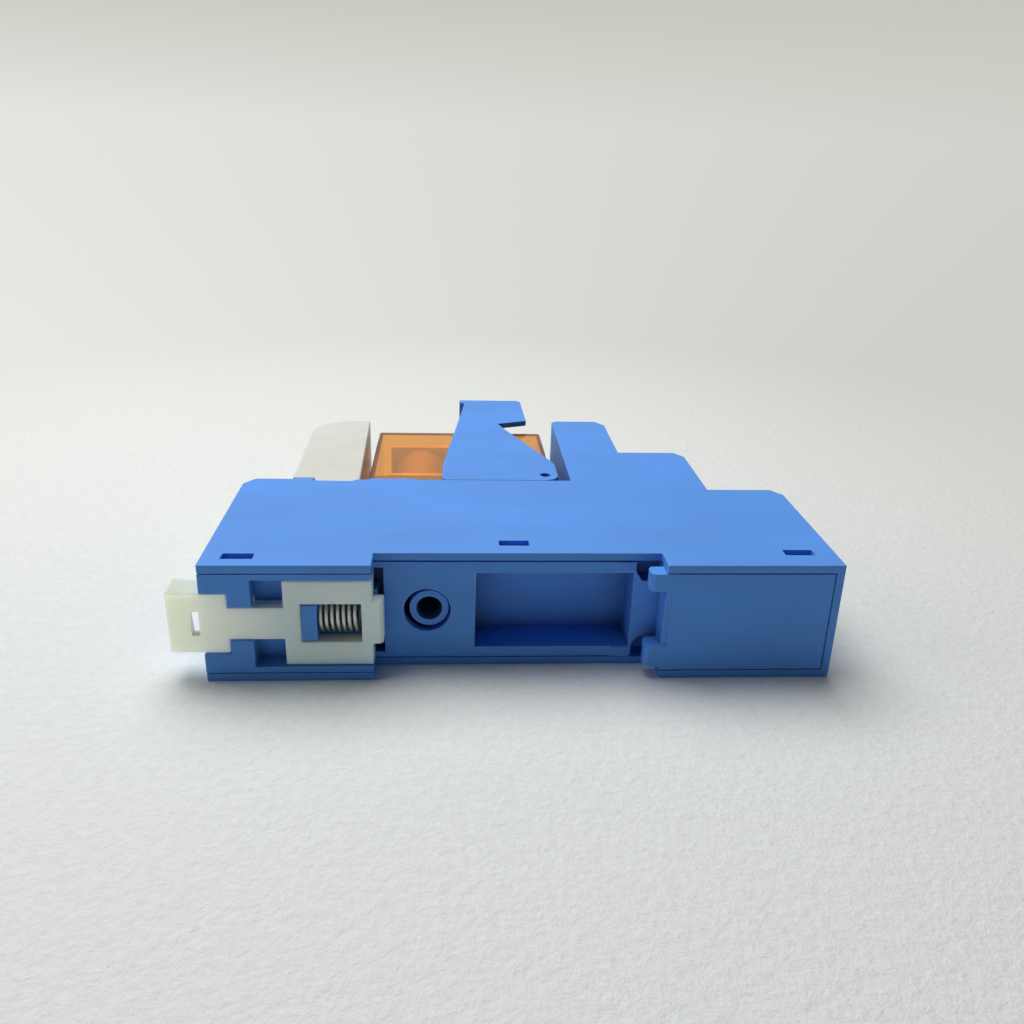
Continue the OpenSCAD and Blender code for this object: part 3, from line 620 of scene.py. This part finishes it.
@dataclass(frozen=True)
class AmberCover(Finish):
    """See-through amber polycarbonate that deepens with the thickness looked through.

    Args:
        haze: haze in the plastic.
        haze_share: how far the haze is darkened.
        haze_shade: shade of the haze.
        haze_dull: roughness that the haze adds.
        scuff: fine scuffs along X.
        scuff_dull: roughness that the scuffs add.
        index: refractive index.
        clear: share of the light that passes.
        tint: colour that passes through the plastic.
        density: how fast the plastic takes up the other colours, per metre.
        lamp_tint: colour of the lamps' light behind one face of the cover.
        gloss: colour of the mirrored light.
    """

    haze: Pattern = Pattern(4.0, detail=4.0)
    haze_share: float = 0.3
    haze_shade: float = 0.92
    haze_dull: float = 0.03
    scuff: Pattern = Pattern(0.6, detail=4.0, span=(0.60, 0.75), stretch=(0.15, 1.0, 1.0))
    scuff_dull: float = 0.06
    index: float = 1.42
    clear: float = 0.92
    tint: Colour = (0.98, 0.73, 0.02)
    density: float = 1450.0
    lamp_tint: Colour = (0.99, 0.91, 0.70)
    gloss: Colour = (1.0, 0.75, 0.10)

    def paint(self, graph: Surface) -> None:
        """Draws tint, haze and fine scuffs, and lets the lamps' light through.

        Args:
            graph: graph of the material.
        """
        haze = graph.noise(self.haze)
        hazy = haze.between(*self.haze.span) * self.haze_share
        body = graph.mix(hazy, self.colour, shade(self.colour, self.haze_shade))
        rough = self.roughness + self.haze_dull * haze + self.scuff_dull * graph.blotches(self.scuff)
        graph.set(Base_Color=body, Roughness=rough, IOR=self.index)
        graph.set(Transmission_Weight=self.clear, Specular_Tint=rgba(self.gloss))
        passing = graph.add("ShaderNodeBsdfTransparent", {}, {"Color": rgba(self.lamp_tint)})
        lit = graph.blend(graph.rays("Shadow"), graph.principled(), passing)
        graph.feed(graph.output.inputs["Surface"], lit)
        inputs = {"Color": rgba(self.tint), "Density": self.density}
        graph.feed(graph.output.inputs["Volume"], graph.add("ShaderNodeVolumeAbsorption", {}, inputs))


@dataclass(frozen=True)
class MilkyCover(Finish):
    """Milky polycarbonate that lets a little light through.

    Args:
        cloud: cloudiness of the plastic.
        cloud_shades: darkest and lightest shade of the clouds.
        cloud_dull: roughness that the clouds add.
        grain: fine grain of the surface.
        grain_depth_mm: depth of the grain.
        dust: dust on the surface.
        dust_share: how far the dust shows.
        dust_colour: colour of the dust.
        index: refractive index.
        glow: share of the light that wanders inside it.
        glow_mm: how far this light wanders.
        glow_reach: the same by colour, as shares.
    """

    cloud: Pattern = Pattern(5.0, detail=4.0)
    cloud_shades: Span = (0.95, 1.04)
    cloud_dull: float = 0.10
    grain: Pattern = Pattern(0.22, detail=2.0)
    grain_depth_mm: float = 0.004
    dust: Pattern = Pattern(0.8, detail=6.0, roughness=0.7, span=(0.58, 0.78))
    dust_share: float = 0.15
    dust_colour: Colour = (0.45, 0.42, 0.35)
    index: float = 1.5
    glow: float = 0.3
    glow_mm: float = 1.2
    glow_reach: Triple = (1.0, 1.0, 0.9)

    def paint(self, graph: Surface) -> None:
        """Draws a soft cloudiness, a fine grain and dust.

        Args:
            graph: graph of the material.
        """
        cloud = graph.noise(self.cloud)
        dark, light = (shade(self.colour, tone) for tone in self.cloud_shades)
        body = graph.mix(cloud.between(*self.cloud.span), dark, light)
        body = graph.mix(graph.blotches(self.dust) * self.dust_share, body, self.dust_colour)
        graph.set(Base_Color=body, Roughness=self.roughness + self.cloud_dull * cloud, IOR=self.index)
        graph.set(Normal=graph.bump(graph.noise(self.grain), self.grain_depth_mm))
        graph.set(Subsurface_Weight=self.glow, Subsurface_Radius=self.glow_reach,
                  Subsurface_Scale=self.glow_mm * MM)


@dataclass(frozen=True)
class CopperWinding(Finish):
    """Layers of lacquered copper wire wound round the bobbin.

    Args:
        wire_mm: pitch of the turns along Y.
        turn_share: how far the turns are darkened.
        turn_shade: shade of the turns.
        turn_depth_mm: depth of the grooves between the turns.
        patch: uneven patches of the lacquer.
        patch_share: how far the patches are darkened.
        patch_shade: shade of the patches.
        patch_dull: roughness that the patches add.
        metallic: how metallic it looks under the lacquer.
    """

    wire_mm: float = 0.14
    turn_share: float = 0.45
    turn_shade: float = 0.45
    turn_depth_mm: float = 0.03
    patch: Pattern = Pattern(1.5, detail=4.0, span=(0.4, 0.8))
    patch_share: float = 0.3
    patch_shade: float = 0.6
    patch_dull: float = 0.15
    metallic: float = 0.4

    def paint(self, graph: Surface) -> None:
        """Draws the turns as fine ridges across Y, and the lacquer.

        Args:
            graph: graph of the material.
        """
        phase = graph.part(graph.place(), "Y") * (2.0 * math.pi / (self.wire_mm * MM))
        turns = graph.add("ShaderNodeMath", {"operation": "SINE"}, {0: phase}) * 0.5 + 0.5
        patch = graph.noise(self.patch)
        body = graph.mix(turns * self.turn_share, self.colour, shade(self.colour, self.turn_shade))
        patchy = patch.between(*self.patch.span) * self.patch_share
        body = graph.mix(patchy, body, shade(self.colour, self.patch_shade))
        rough = self.roughness + self.patch_dull * patch
        graph.set(Base_Color=body, Roughness=rough, Metallic=self.metallic)
        graph.set(Normal=graph.bump(turns, self.turn_depth_mm))


BLUE = MouldedPlastic("blue_moulding", (0.085, 0.318, 0.90), 0.46)
NYLON = Nylon("waxy_nylon", (0.87, 0.99, 0.955), 0.42)
SPRING = Metal("spring_wire", (0.54, 0.54, 0.50), 0.36, lines=replace(DRAWN, stretch=(1.0, 0.3, 0.3)))
PLATED = Metal("zinc_plating", (0.66, 0.66, 0.63), 0.34)
BRASS = Metal("tinned_brass", (0.74, 0.62, 0.36), 0.33)
CONTACT = Metal("contact_alloy", (0.72, 0.50, 0.30), 0.30)
IRON = Metal("plated_iron", (0.52, 0.52, 0.50), 0.36)
AMBER = AmberCover("amber_polycarbonate", (1.0, 0.82, 0.48), 0.06)
MILKY = MilkyCover("milky_polycarbonate", (0.74, 0.76, 0.70), 0.40)
COPPER = CopperWinding("lacquered_copper", (0.34, 0.18, 0.09), 0.38)
BLACK = MouldedPlastic("black_moulding", (0.03, 0.03, 0.032), 0.48, worn=0.15)
NATURAL = MouldedPlastic("natural_moulding", (0.56, 0.37, 0.18), 0.45, worn=0.1)
CARD = MouldedPlastic("green_moulding", (0.06, 0.16, 0.08), 0.45, worn=0.1)
BOARD = MouldedPlastic("board_laminate", (0.05, 0.22, 0.10), 0.40, worn=0.2,
                       grain=replace(SPARKED, size_mm=0.3))
LENS = MilkyCover("tinted_lens", (0.25, 0.62, 0.22), 0.20)


def deselect() -> None:
    """Leaves edit mode and clears the selection."""
    if bpy.context.object and bpy.context.object.mode != "OBJECT":
        bpy.ops.object.mode_set(mode="OBJECT")
    bpy.ops.object.select_all(action="DESELECT")


@contextmanager
def editing(piece: bpy.types.Object) -> Iterator[None]:
    """Edits a piece alone, with all of it selected.

    Args:
        piece: the object, which is left active and in object mode.
    """
    deselect()
    piece.select_set(True)
    bpy.context.view_layer.objects.active = piece
    bpy.ops.object.mode_set(mode="EDIT")
    bpy.ops.mesh.select_all(action="SELECT")
    yield
    bpy.ops.object.mode_set(mode="OBJECT")


def paint(piece: bpy.types.Object, finish: Finish) -> None:
    """Gives a piece one finish all over.

    Args:
        piece: the object.
        finish: its finish.
    """
    piece.data.materials.clear()
    piece.data.materials.append(finish.material())
    log.info("%s finished as %s", piece.name, finish.name)


def dress(node: str, finish: Finish) -> None:
    """Gives a CAD node one finish all over."""
    paint(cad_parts[node], finish)


def mark_edges(piece: bpy.types.Object, width: float) -> float:
    """Marks the sharp edges that have room for rounding.

    Args:
        piece: the merged copy of a CAD node.
        width: width of the rounding in metres.

    Returns:
        The share of the sharp length that is marked.
    """
    mesh = bmesh.new()
    mesh.from_mesh(piece.data)
    weight = mesh.edges.layers.float.new("bevel_weight_edge")
    tight = {vert.index for edge in mesh.edges if edge.calc_length() < ROOM * width for vert in edge.verts}
    for face in mesh.faces:
        if len(face.verts) == 3:
            # Twice the area is the height over a side times that side.
            tight.update(loop.vert.index for loop in face.loops
                         if 2.0 * face.calc_area() < SLIVER * width * loop.link_loop_next.edge.calc_length())
    sharp = [edge for edge in mesh.edges if len(edge.link_faces) == 2 and edge.calc_face_angle() > SHARP]
    free = [edge for edge in sharp if not tight.intersection(vert.index for vert in edge.verts)]
    for edge in free:
        edge[weight] = 1.0
    share = sum(edge.calc_length() for edge in free) / sum(edge.calc_length() for edge in sharp)
    mesh.to_mesh(piece.data)
    mesh.free()
    return share


def close_ledges(piece: bpy.types.Object, width: float) -> None:
    """Runs narrow ledges into the faces behind them.

    Args:
        piece: a merged copy of a CAD node with whole faces.
        width: ledges narrower than this are closed, in metres.
    """
    mesh = bmesh.new()
    mesh.from_mesh(piece.data)
    middle = sum((vert.co for vert in mesh.verts), Vector()) / len(mesh.verts)
    inward = {}
    for edge in mesh.edges:
        if edge.calc_length() < width:
            near, far = sorted(edge.verts, key=lambda vert: (vert.co - middle).length)
            inward[far] = near
    bmesh.ops.weld_verts(mesh, targetmap=inward)
    log.info("%s: %d corners of ledges closed", piece.name, len(inward))
    mesh.to_mesh(piece.data)
    mesh.free()


def round_edges(piece: bpy.types.Object, width: float, finish: Finish) -> None:
    """Rounds the marked edges, with their faces in a slot of their own.

    Args:
        piece: the merged copy of a CAD node.
        width: width of the rounding in metres.
        finish: finish of the piece.
    """
    for _ in (FLAT_SLOT, ROUND_SLOT):
        piece.data.materials.append(finish.material())
    bevel = piece.modifiers.new("edges", "BEVEL")
    bevel.width = width
    bevel.segments = ROUND_STEPS
    bevel.limit_method = "WEIGHT"
    bevel.use_clamp_overlap = False
    bevel.material = ROUND_SLOT
    bpy.ops.object.modifier_apply(modifier=bevel.name)


def settle_normals(piece: bpy.types.Object) -> None:
    """Shades flat faces flat, and lets arcs and rounded edges run smoothly into them.

    Args:
        piece: a piece whose rounded edges have the second material slot.
    """
    mesh = piece.data
    around: dict[int, list[bpy.types.MeshPolygon]] = {}
    for face in mesh.polygons:
        for vert in face.vertices:
            around.setdefault(vert, []).append(face)
    corners = [Vector()] * len(mesh.loops)
    for face in mesh.polygons:
        for loop, vert in zip(face.loop_indices, face.vertices):
            near = [other for other in around[vert] if other.normal.angle(face.normal, 0.0) < EDGE_STEP]
            plain = [other for other in near if other.material_index == FLAT_SLOT]
            lead = face.normal
            if face.material_index == ROUND_SLOT and plain:
                lead = min(plain, key=lambda other: other.normal.angle(face.normal, 0.0)).normal
            level = [other for other in plain if other.normal.angle(lead, 0.0) < ARC_STEP]
            corners[loop] = sum((other.normal * other.area for other in level or near), Vector()).normalized()
    mesh.normals_split_custom_set(corners)
    for face in mesh.polygons:
        face.material_index = FLAT_SLOT


def soften(node: str, body: str, edge: Edge, finish: Finish,
           whole_faces: bool = False, ledge_mm: float = 0.0) -> None:
    """Makes a copy of a CAD node with rounded edges, which stands for the node.

    Args:
        node: name of the CAD node.
        body: body that the piece rides on.
        edge: how far the edges are rounded.
        finish: finish of the piece.
        whole_faces: whether flat faces are joined first, for pieces with no holes in them.
        ledge_mm: ledges narrower than this are closed.
    """
    width = edge.value * MM
    piece = bpy.data.objects.new(f"{node}_rounded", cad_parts[node].data.copy())
    bpy.context.scene.collection.objects.link(piece)
    with editing(piece):
        bpy.ops.mesh.remove_doubles(threshold=MERGE_MM * MM)
        if whole_faces:
            bpy.ops.mesh.dissolve_limited(angle_limit=FLAT)
        else:
            bpy.ops.mesh.beautify_fill(angle_limit=FLAT)
    if ledge_mm:
        close_ledges(piece, ledge_mm * MM)
    share = mark_edges(piece, width)
    round_edges(piece, width, finish)
    with editing(piece):
        bpy.ops.mesh.remove_doubles(threshold=MERGE_MM * MM)
        bpy.ops.mesh.dissolve_degenerate(threshold=MERGE_MM * MM)
    bpy.ops.object.shade_smooth()
    settle_normals(piece)
    paint(piece, finish)
    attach(piece, body)
    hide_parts(node)
    log.info("%s rounded by %.2f mm along %.0f%% of its edges", node, edge.value, 100.0 * share)


@dataclass
class SocketBlock:
    """Housing, base and terminals of the socket.

    Args:
        body: body that the mouldings ride on.
        rows: names of the terminal rows.
        moving: kinds of terminal pieces that ride on bodies of their own.
    """

    body: str = "socket"
    rows: tuple[str, ...] = ("coil", "upper", "middle", "lower")
    moving: tuple[str, ...] = ("screw", "cage")

    def build(self) -> None:
        """Rounds the mouldings and dresses the metal."""
        soften("housing", self.body, Edge.MOULDED, BLUE)
        soften("base", self.body, Edge.CRISP, BLUE)
        for row in self.rows:
            for side in SIDES:
                dress(f"{row}_bar_{side}", BRASS)
                for kind in self.moving:
                    node = f"{row}_{kind}_{side}"
                    soften(node, node, Edge.CRISP, PLATED)
        log.info("socket dressed")


@dataclass
class RailClip:
    """Sliding nylon clip and its spring.

    Args:
        coils: turns of the spring.
        wire_mm: diameter of its wire.
        travel_mm: how far the clip can be pulled; not used.
        steps: faces along one turn.
        sides: faces round the wire.
    """

    coils: int = 7
    wire_mm: float = 0.48
    travel_mm: float = 1.8
    steps: int = 40
    sides: int = 12

    def build(self) -> None:
        """Rounds the clip and puts the spring in its place."""
        soften("rail_clip", "clip", Edge.MOULDED, NYLON)
        self._spring()
        log.info("rail clip dressed")

    def _wound(self, length: float, mean_radius: float) -> bpy.types.Object:
        """Winds round wire along X.

        Args:
            length: length between the middles of the first and the last wire, in metres.
            mean_radius: radius to the middle of the wire, in metres.

        Returns:
            The closed coil, wound round the X axis.
        """
        quarter = math.pi / 2.0
        deselect()
        bpy.ops.mesh.primitive_circle_add(vertices=self.sides, radius=self.wire_mm * MM / 2.0,
                                          location=(0.0, 0.0, mean_radius), rotation=(0.0, quarter, quarter))
        coil = bpy.context.object
        coil.name = "rail_clip_coil"
        bpy.ops.object.transform_apply(location=True, rotation=True, scale=True)
        wind = coil.modifiers.new("turns", "SCREW")
        wind.axis = "X"
        wind.iterations = self.coils
        wind.screw_offset = length / self.coils
        wind.steps = self.steps
        wind.render_steps = self.steps
        bpy.ops.object.modifier_apply(modifier=wind.name)
        with editing(coil):
            bpy.ops.mesh.select_all(action="DESELECT")
            bpy.ops.mesh.select_non_manifold()
            bpy.ops.mesh.edge_face_add()
            bpy.ops.mesh.select_all(action="SELECT")
            bpy.ops.mesh.normals_make_consistent(inside=False)
        return coil

    def _spring(self) -> None:
        """Puts a coil of round wire in the place of the spring's CAD node."""
        low, high = (Vector(corner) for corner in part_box("rail_clip_spring"))
        centre = (low + high) / 2.0
        full = high.x - low.x
        wire = self.wire_mm * MM
        coil = self._wound(full - wire, (high.z - low.z - wire) / 2.0)
        start = min(vert.co.x for vert in coil.data.vertices)
        coil.location = (low.x - start, centre.y, centre.z)
        bpy.ops.object.transform_apply(location=True)
        bpy.ops.object.shade_smooth_by_angle(angle=WIRE_STEP)
        paint(coil, SPRING)
        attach(coil, "socket")
        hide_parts("rail_clip_spring")
        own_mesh(coil)


@dataclass
class ReleaseLever:
    """Retaining and release lever."""

    def build(self) -> None:
        """Rounds the lever."""
        soften("lever", "lever", Edge.MOULDED, BLUE)
        log.info("lever dressed")


@dataclass
class PlugRelay:
    """Relay with its see-through cover and the works inside.

    Args:
        finishes: finish of each inner node.
        contacts: kinds of contact pieces, of which there are two each.
    """

    finishes: dict[str, Finish] = field(default_factory=lambda: {
        "relay_base": BLACK, "coil_bobbin": NATURAL, "coil_winding": COPPER, "coil_core": IRON,
        "yoke": IRON, "armature": IRON, "armature_card": CARD})
    contacts: tuple[str, ...] = ("coil_pin", "common_terminal", "contact_blade", "closed_contact",
                                 "open_contact")

    def build(self) -> None:
        """Rounds the cover and dresses the works."""
        soften("relay_cover", "relay", Edge.CRISP, AMBER, whole_faces=True)
        for node, finish in self.finishes.items():
            dress(node, finish)
        for side in SIDES:
            for kind in self.contacts:
                dress(f"{kind}_{side}", CONTACT)
        log.info("relay dressed")


@dataclass
class IndicatorModule:
    """Plug-in indicator module.

    Args:
        ledge_mm: ledges of the cover narrower than this run into its curve.
        finishes: finish of each inner node.
    """

    ledge_mm: float = 0.15
    finishes: dict[str, Finish] = field(default_factory=lambda: {
        "module_board": BOARD, "module_led": LENS, "module_diode": BLACK,
        "module_pin_a": BRASS, "module_pin_b": BRASS})

    def build(self) -> None:
        """Rounds the cover and dresses the board."""
        soften("module_cover", "module", Edge.SOFT, MILKY, whole_faces=True,
               ledge_mm=self.ledge_mm)
        for node, finish in self.finishes.items():
            dress(node, finish)
        log.info("module dressed")


@dataclass(frozen=True)
class Softbox:
    """A square soft lamp.

    Args:
        place: where it hangs, in metres.
        size: length of its side in metres.
        power: its power in watts.
    """

    place: Triple
    size: float
    power: float


@dataclass
class Studio:
    """Pale floor, soft lamps and the camera of the photograph.

    Args:
        floor_colour: linear colour of the floor.
        floor_shades: darkest and lightest shade of the floor.
        floor_roughness: roughness of the floor.
        floor_depth_mm: depth of the floor's relief.
        floor_radius: radius of the floor in metres.
        floor_corners: corners round the floor.
        mottle: relief and shades of the floor.
        fade: distances over which the floor passes into the backdrop, in metres.
        ambient: strength of the even light from all round.
        ambient_colour: linear colour of this light.
        backdrop_left: linear colour of the backdrop towards -X.
        backdrop_right: linear colour of the backdrop towards +X.
        backdrop_high: linear colour of the backdrop further up.
        backdrop_across: parts along X between which left passes into right.
        backdrop_up: parts along Z between which the backdrop passes into its upper colour.
        lamps: the soft lamps.
        aim: place that the lamps point at, in metres.
        eye_mm: place of the camera.
        yaw: turn of the camera towards +X, in radians.
        pitch: tilt of the camera downwards, in radians.
        roll: turn of the picture, in radians.
        focal_px: focal length in pixels of the square picture.
        picture_px: side of the picture in pixels.
        sensor_mm: width of the sensor.
        nearest: distance from which the camera sees, in metres.
    """

    floor_colour: Colour = (0.89, 0.915, 0.885)
    floor_shades: Span = (0.95, 1.03)
    floor_roughness: float = 0.7
    floor_depth_mm: float = 0.25
    floor_radius: float = 4.0
    floor_corners: int = 96
    mottle: Pattern = Pattern(1.3, detail=5.0, roughness=0.7)
    fade: Span = (0.075, 0.21)
    ambient: float = 0.015
    ambient_colour: Colour = (0.95, 0.97, 1.0)
    backdrop_left: Colour = (0.80, 0.815, 0.785)
    backdrop_right: Colour = (0.62, 0.625, 0.585)
    backdrop_high: Colour = (0.58, 0.57, 0.51)
    backdrop_across: Span = (-0.6, 0.6)
    backdrop_up: Span = (0.0, 0.12)
    lamps: dict[Lamp, Softbox] = field(default_factory=lambda: {
        Lamp.TOP: Softbox((-0.08, 0.19, 0.44), 0.40, 2.34),
        Lamp.LEFT: Softbox((-0.45, 0.04, 0.22), 0.35, 0.48),
        Lamp.FILL: Softbox((0.1, -0.6, 0.2), 0.6, 0.02)})
    aim: Triple = (0.0, 0.02, 0.0)
    eye_mm: Triple = (-8.576, -106.60, 56.62)
    yaw: float = 0.0703
    pitch: float = 0.3844
    roll: float = 0.0303
    focal_px: float = 950.0
    picture_px: float = 1024.0
    sensor_mm: float = 36.0
    nearest: float = 0.005

    def build(self) -> None:
        """Sets floor, world, lamps and camera."""
        self._floor()
        self._world()
        self._lamps()
        self._camera()
        bpy.context.scene.view_settings.view_transform = "Standard"
        log.info("studio set")

    def _floor(self) -> None:
        """Lays a round pale sheet under the object, which passes into the backdrop further out."""
        deselect()
        bpy.ops.mesh.primitive_circle_add(vertices=self.floor_corners, radius=self.floor_radius,
                                          fill_type="NGON", location=(0.0, 0.0, CAD_BOX[0][2]))
        floor = bpy.context.object
        floor.name = "studio_floor"
        bpy.ops.object.transform_apply(location=True)
        graph = Surface("pale_floor")
        mottle = graph.noise(self.mottle)
        dark, light = (shade(self.floor_colour, tone) for tone in self.floor_shades)
        graph.set(Base_Color=graph.mix(mottle.between(*self.mottle.span), dark, light),
                  Roughness=self.floor_roughness, Normal=graph.bump(mottle, self.floor_depth_mm))
        place = graph.place()
        away = graph.add("ShaderNodeVectorMath", {"operation": "LENGTH"}, {0: place}, "Value")
        even = graph.add("ShaderNodeEmission", {}, {"Color": self._backdrop(graph, place)})
        share = away.between(*self.fade) * graph.rays(*SEEING)
        graph.feed(graph.output.inputs["Surface"], graph.blend(share, graph.principled(), even))
        floor.data.materials.append(graph.material)

    def _backdrop(self, graph: Graph, place: Wire) -> Wire:
        """Tone of the backdrop, painted a little darker to the right and further up, where less light falls.

        Args:
            graph: the graph of the floor or the world.
            place: place or direction that is looked at.

        Returns:
            The colour.
        """
        direction = graph.add("ShaderNodeVectorMath", {"operation": "NORMALIZE"}, {0: place}, "Vector")
        across = graph.part(direction, "X").between(*self.backdrop_across)
        height = graph.part(direction, "Z").between(*self.backdrop_up)
        tone = graph.mix(across, self.backdrop_left, self.backdrop_right)
        return graph.mix(height, tone, self.backdrop_high)

    def _world(self) -> None:
        """Even light from all round, with the backdrop where it is looked at."""
        world = bpy.data.worlds.new("studio")
        world.use_nodes = True
        bpy.context.scene.world = world
        graph = Graph(world.node_tree)
        looked_at = graph.add("ShaderNodeTexCoord", {}, {}, "Generated")
        inputs = {"Color": rgba(self.ambient_colour), "Strength": self.ambient}
        light = graph.add("ShaderNodeBackground", {}, inputs)
        pale = graph.add("ShaderNodeBackground", {}, {"Color": self._backdrop(graph, looked_at)})
        both = graph.blend(graph.rays(*SEEING), light, pale)
        graph.feed(graph.tree.nodes.new("ShaderNodeOutputWorld").inputs["Surface"], both)

    def _lamps(self) -> None:
        """Hangs the soft lamps and points them at the object."""
        for lamp, softbox in self.lamps.items():
            light = bpy.data.lights.new(lamp.value, "AREA")
            light.size = softbox.size
            light.energy = softbox.power
            place = Vector(softbox.place)
            holder = bpy.data.objects.new(lamp.value, light)
            holder.location = place
            holder.rotation_euler = (Vector(self.aim) - place).to_track_quat("-Z", "Y").to_euler()
            bpy.context.scene.collection.objects.link(holder)

    def _camera(self) -> None:
        """Puts the camera where the photograph was taken."""
        ahead = Vector((math.sin(self.yaw), math.cos(self.yaw), 0.0))
        forward = ahead * math.cos(self.pitch) - Vector((0.0, 0.0, math.sin(self.pitch)))
        level = Vector((math.cos(self.yaw), -math.sin(self.yaw), 0.0))
        upright = level.cross(forward)
        right = level * math.cos(self.roll) + upright * math.sin(self.roll)
        up = upright * math.cos(self.roll) - level * math.sin(self.roll)
        lens = bpy.data.cameras.new("photo_camera")
        lens.sensor_width = self.sensor_mm
        lens.lens = self.sensor_mm * self.focal_px / self.picture_px
        lens.clip_start = self.nearest
        camera = bpy.data.objects.new("photo_camera", lens)
        turn = Matrix((right, up, -forward)).transposed().to_4x4()
        camera.matrix_world = Matrix.Translation(Vector(self.eye_mm) * MM) @ turn
        bpy.context.scene.collection.objects.link(camera)
        bpy.context.scene.camera = camera


def main() -> None:
    """Builds the sub-assemblies in order and sets the studio."""
    logging.basicConfig(level=logging.INFO, format="%(name)s: %(message)s")
    for assembly in (SocketBlock(), RailClip(), ReleaseLever(), PlugRelay(), IndicatorModule(), Studio()):
        assembly.build()


if __name__ == "__main__":
    main()
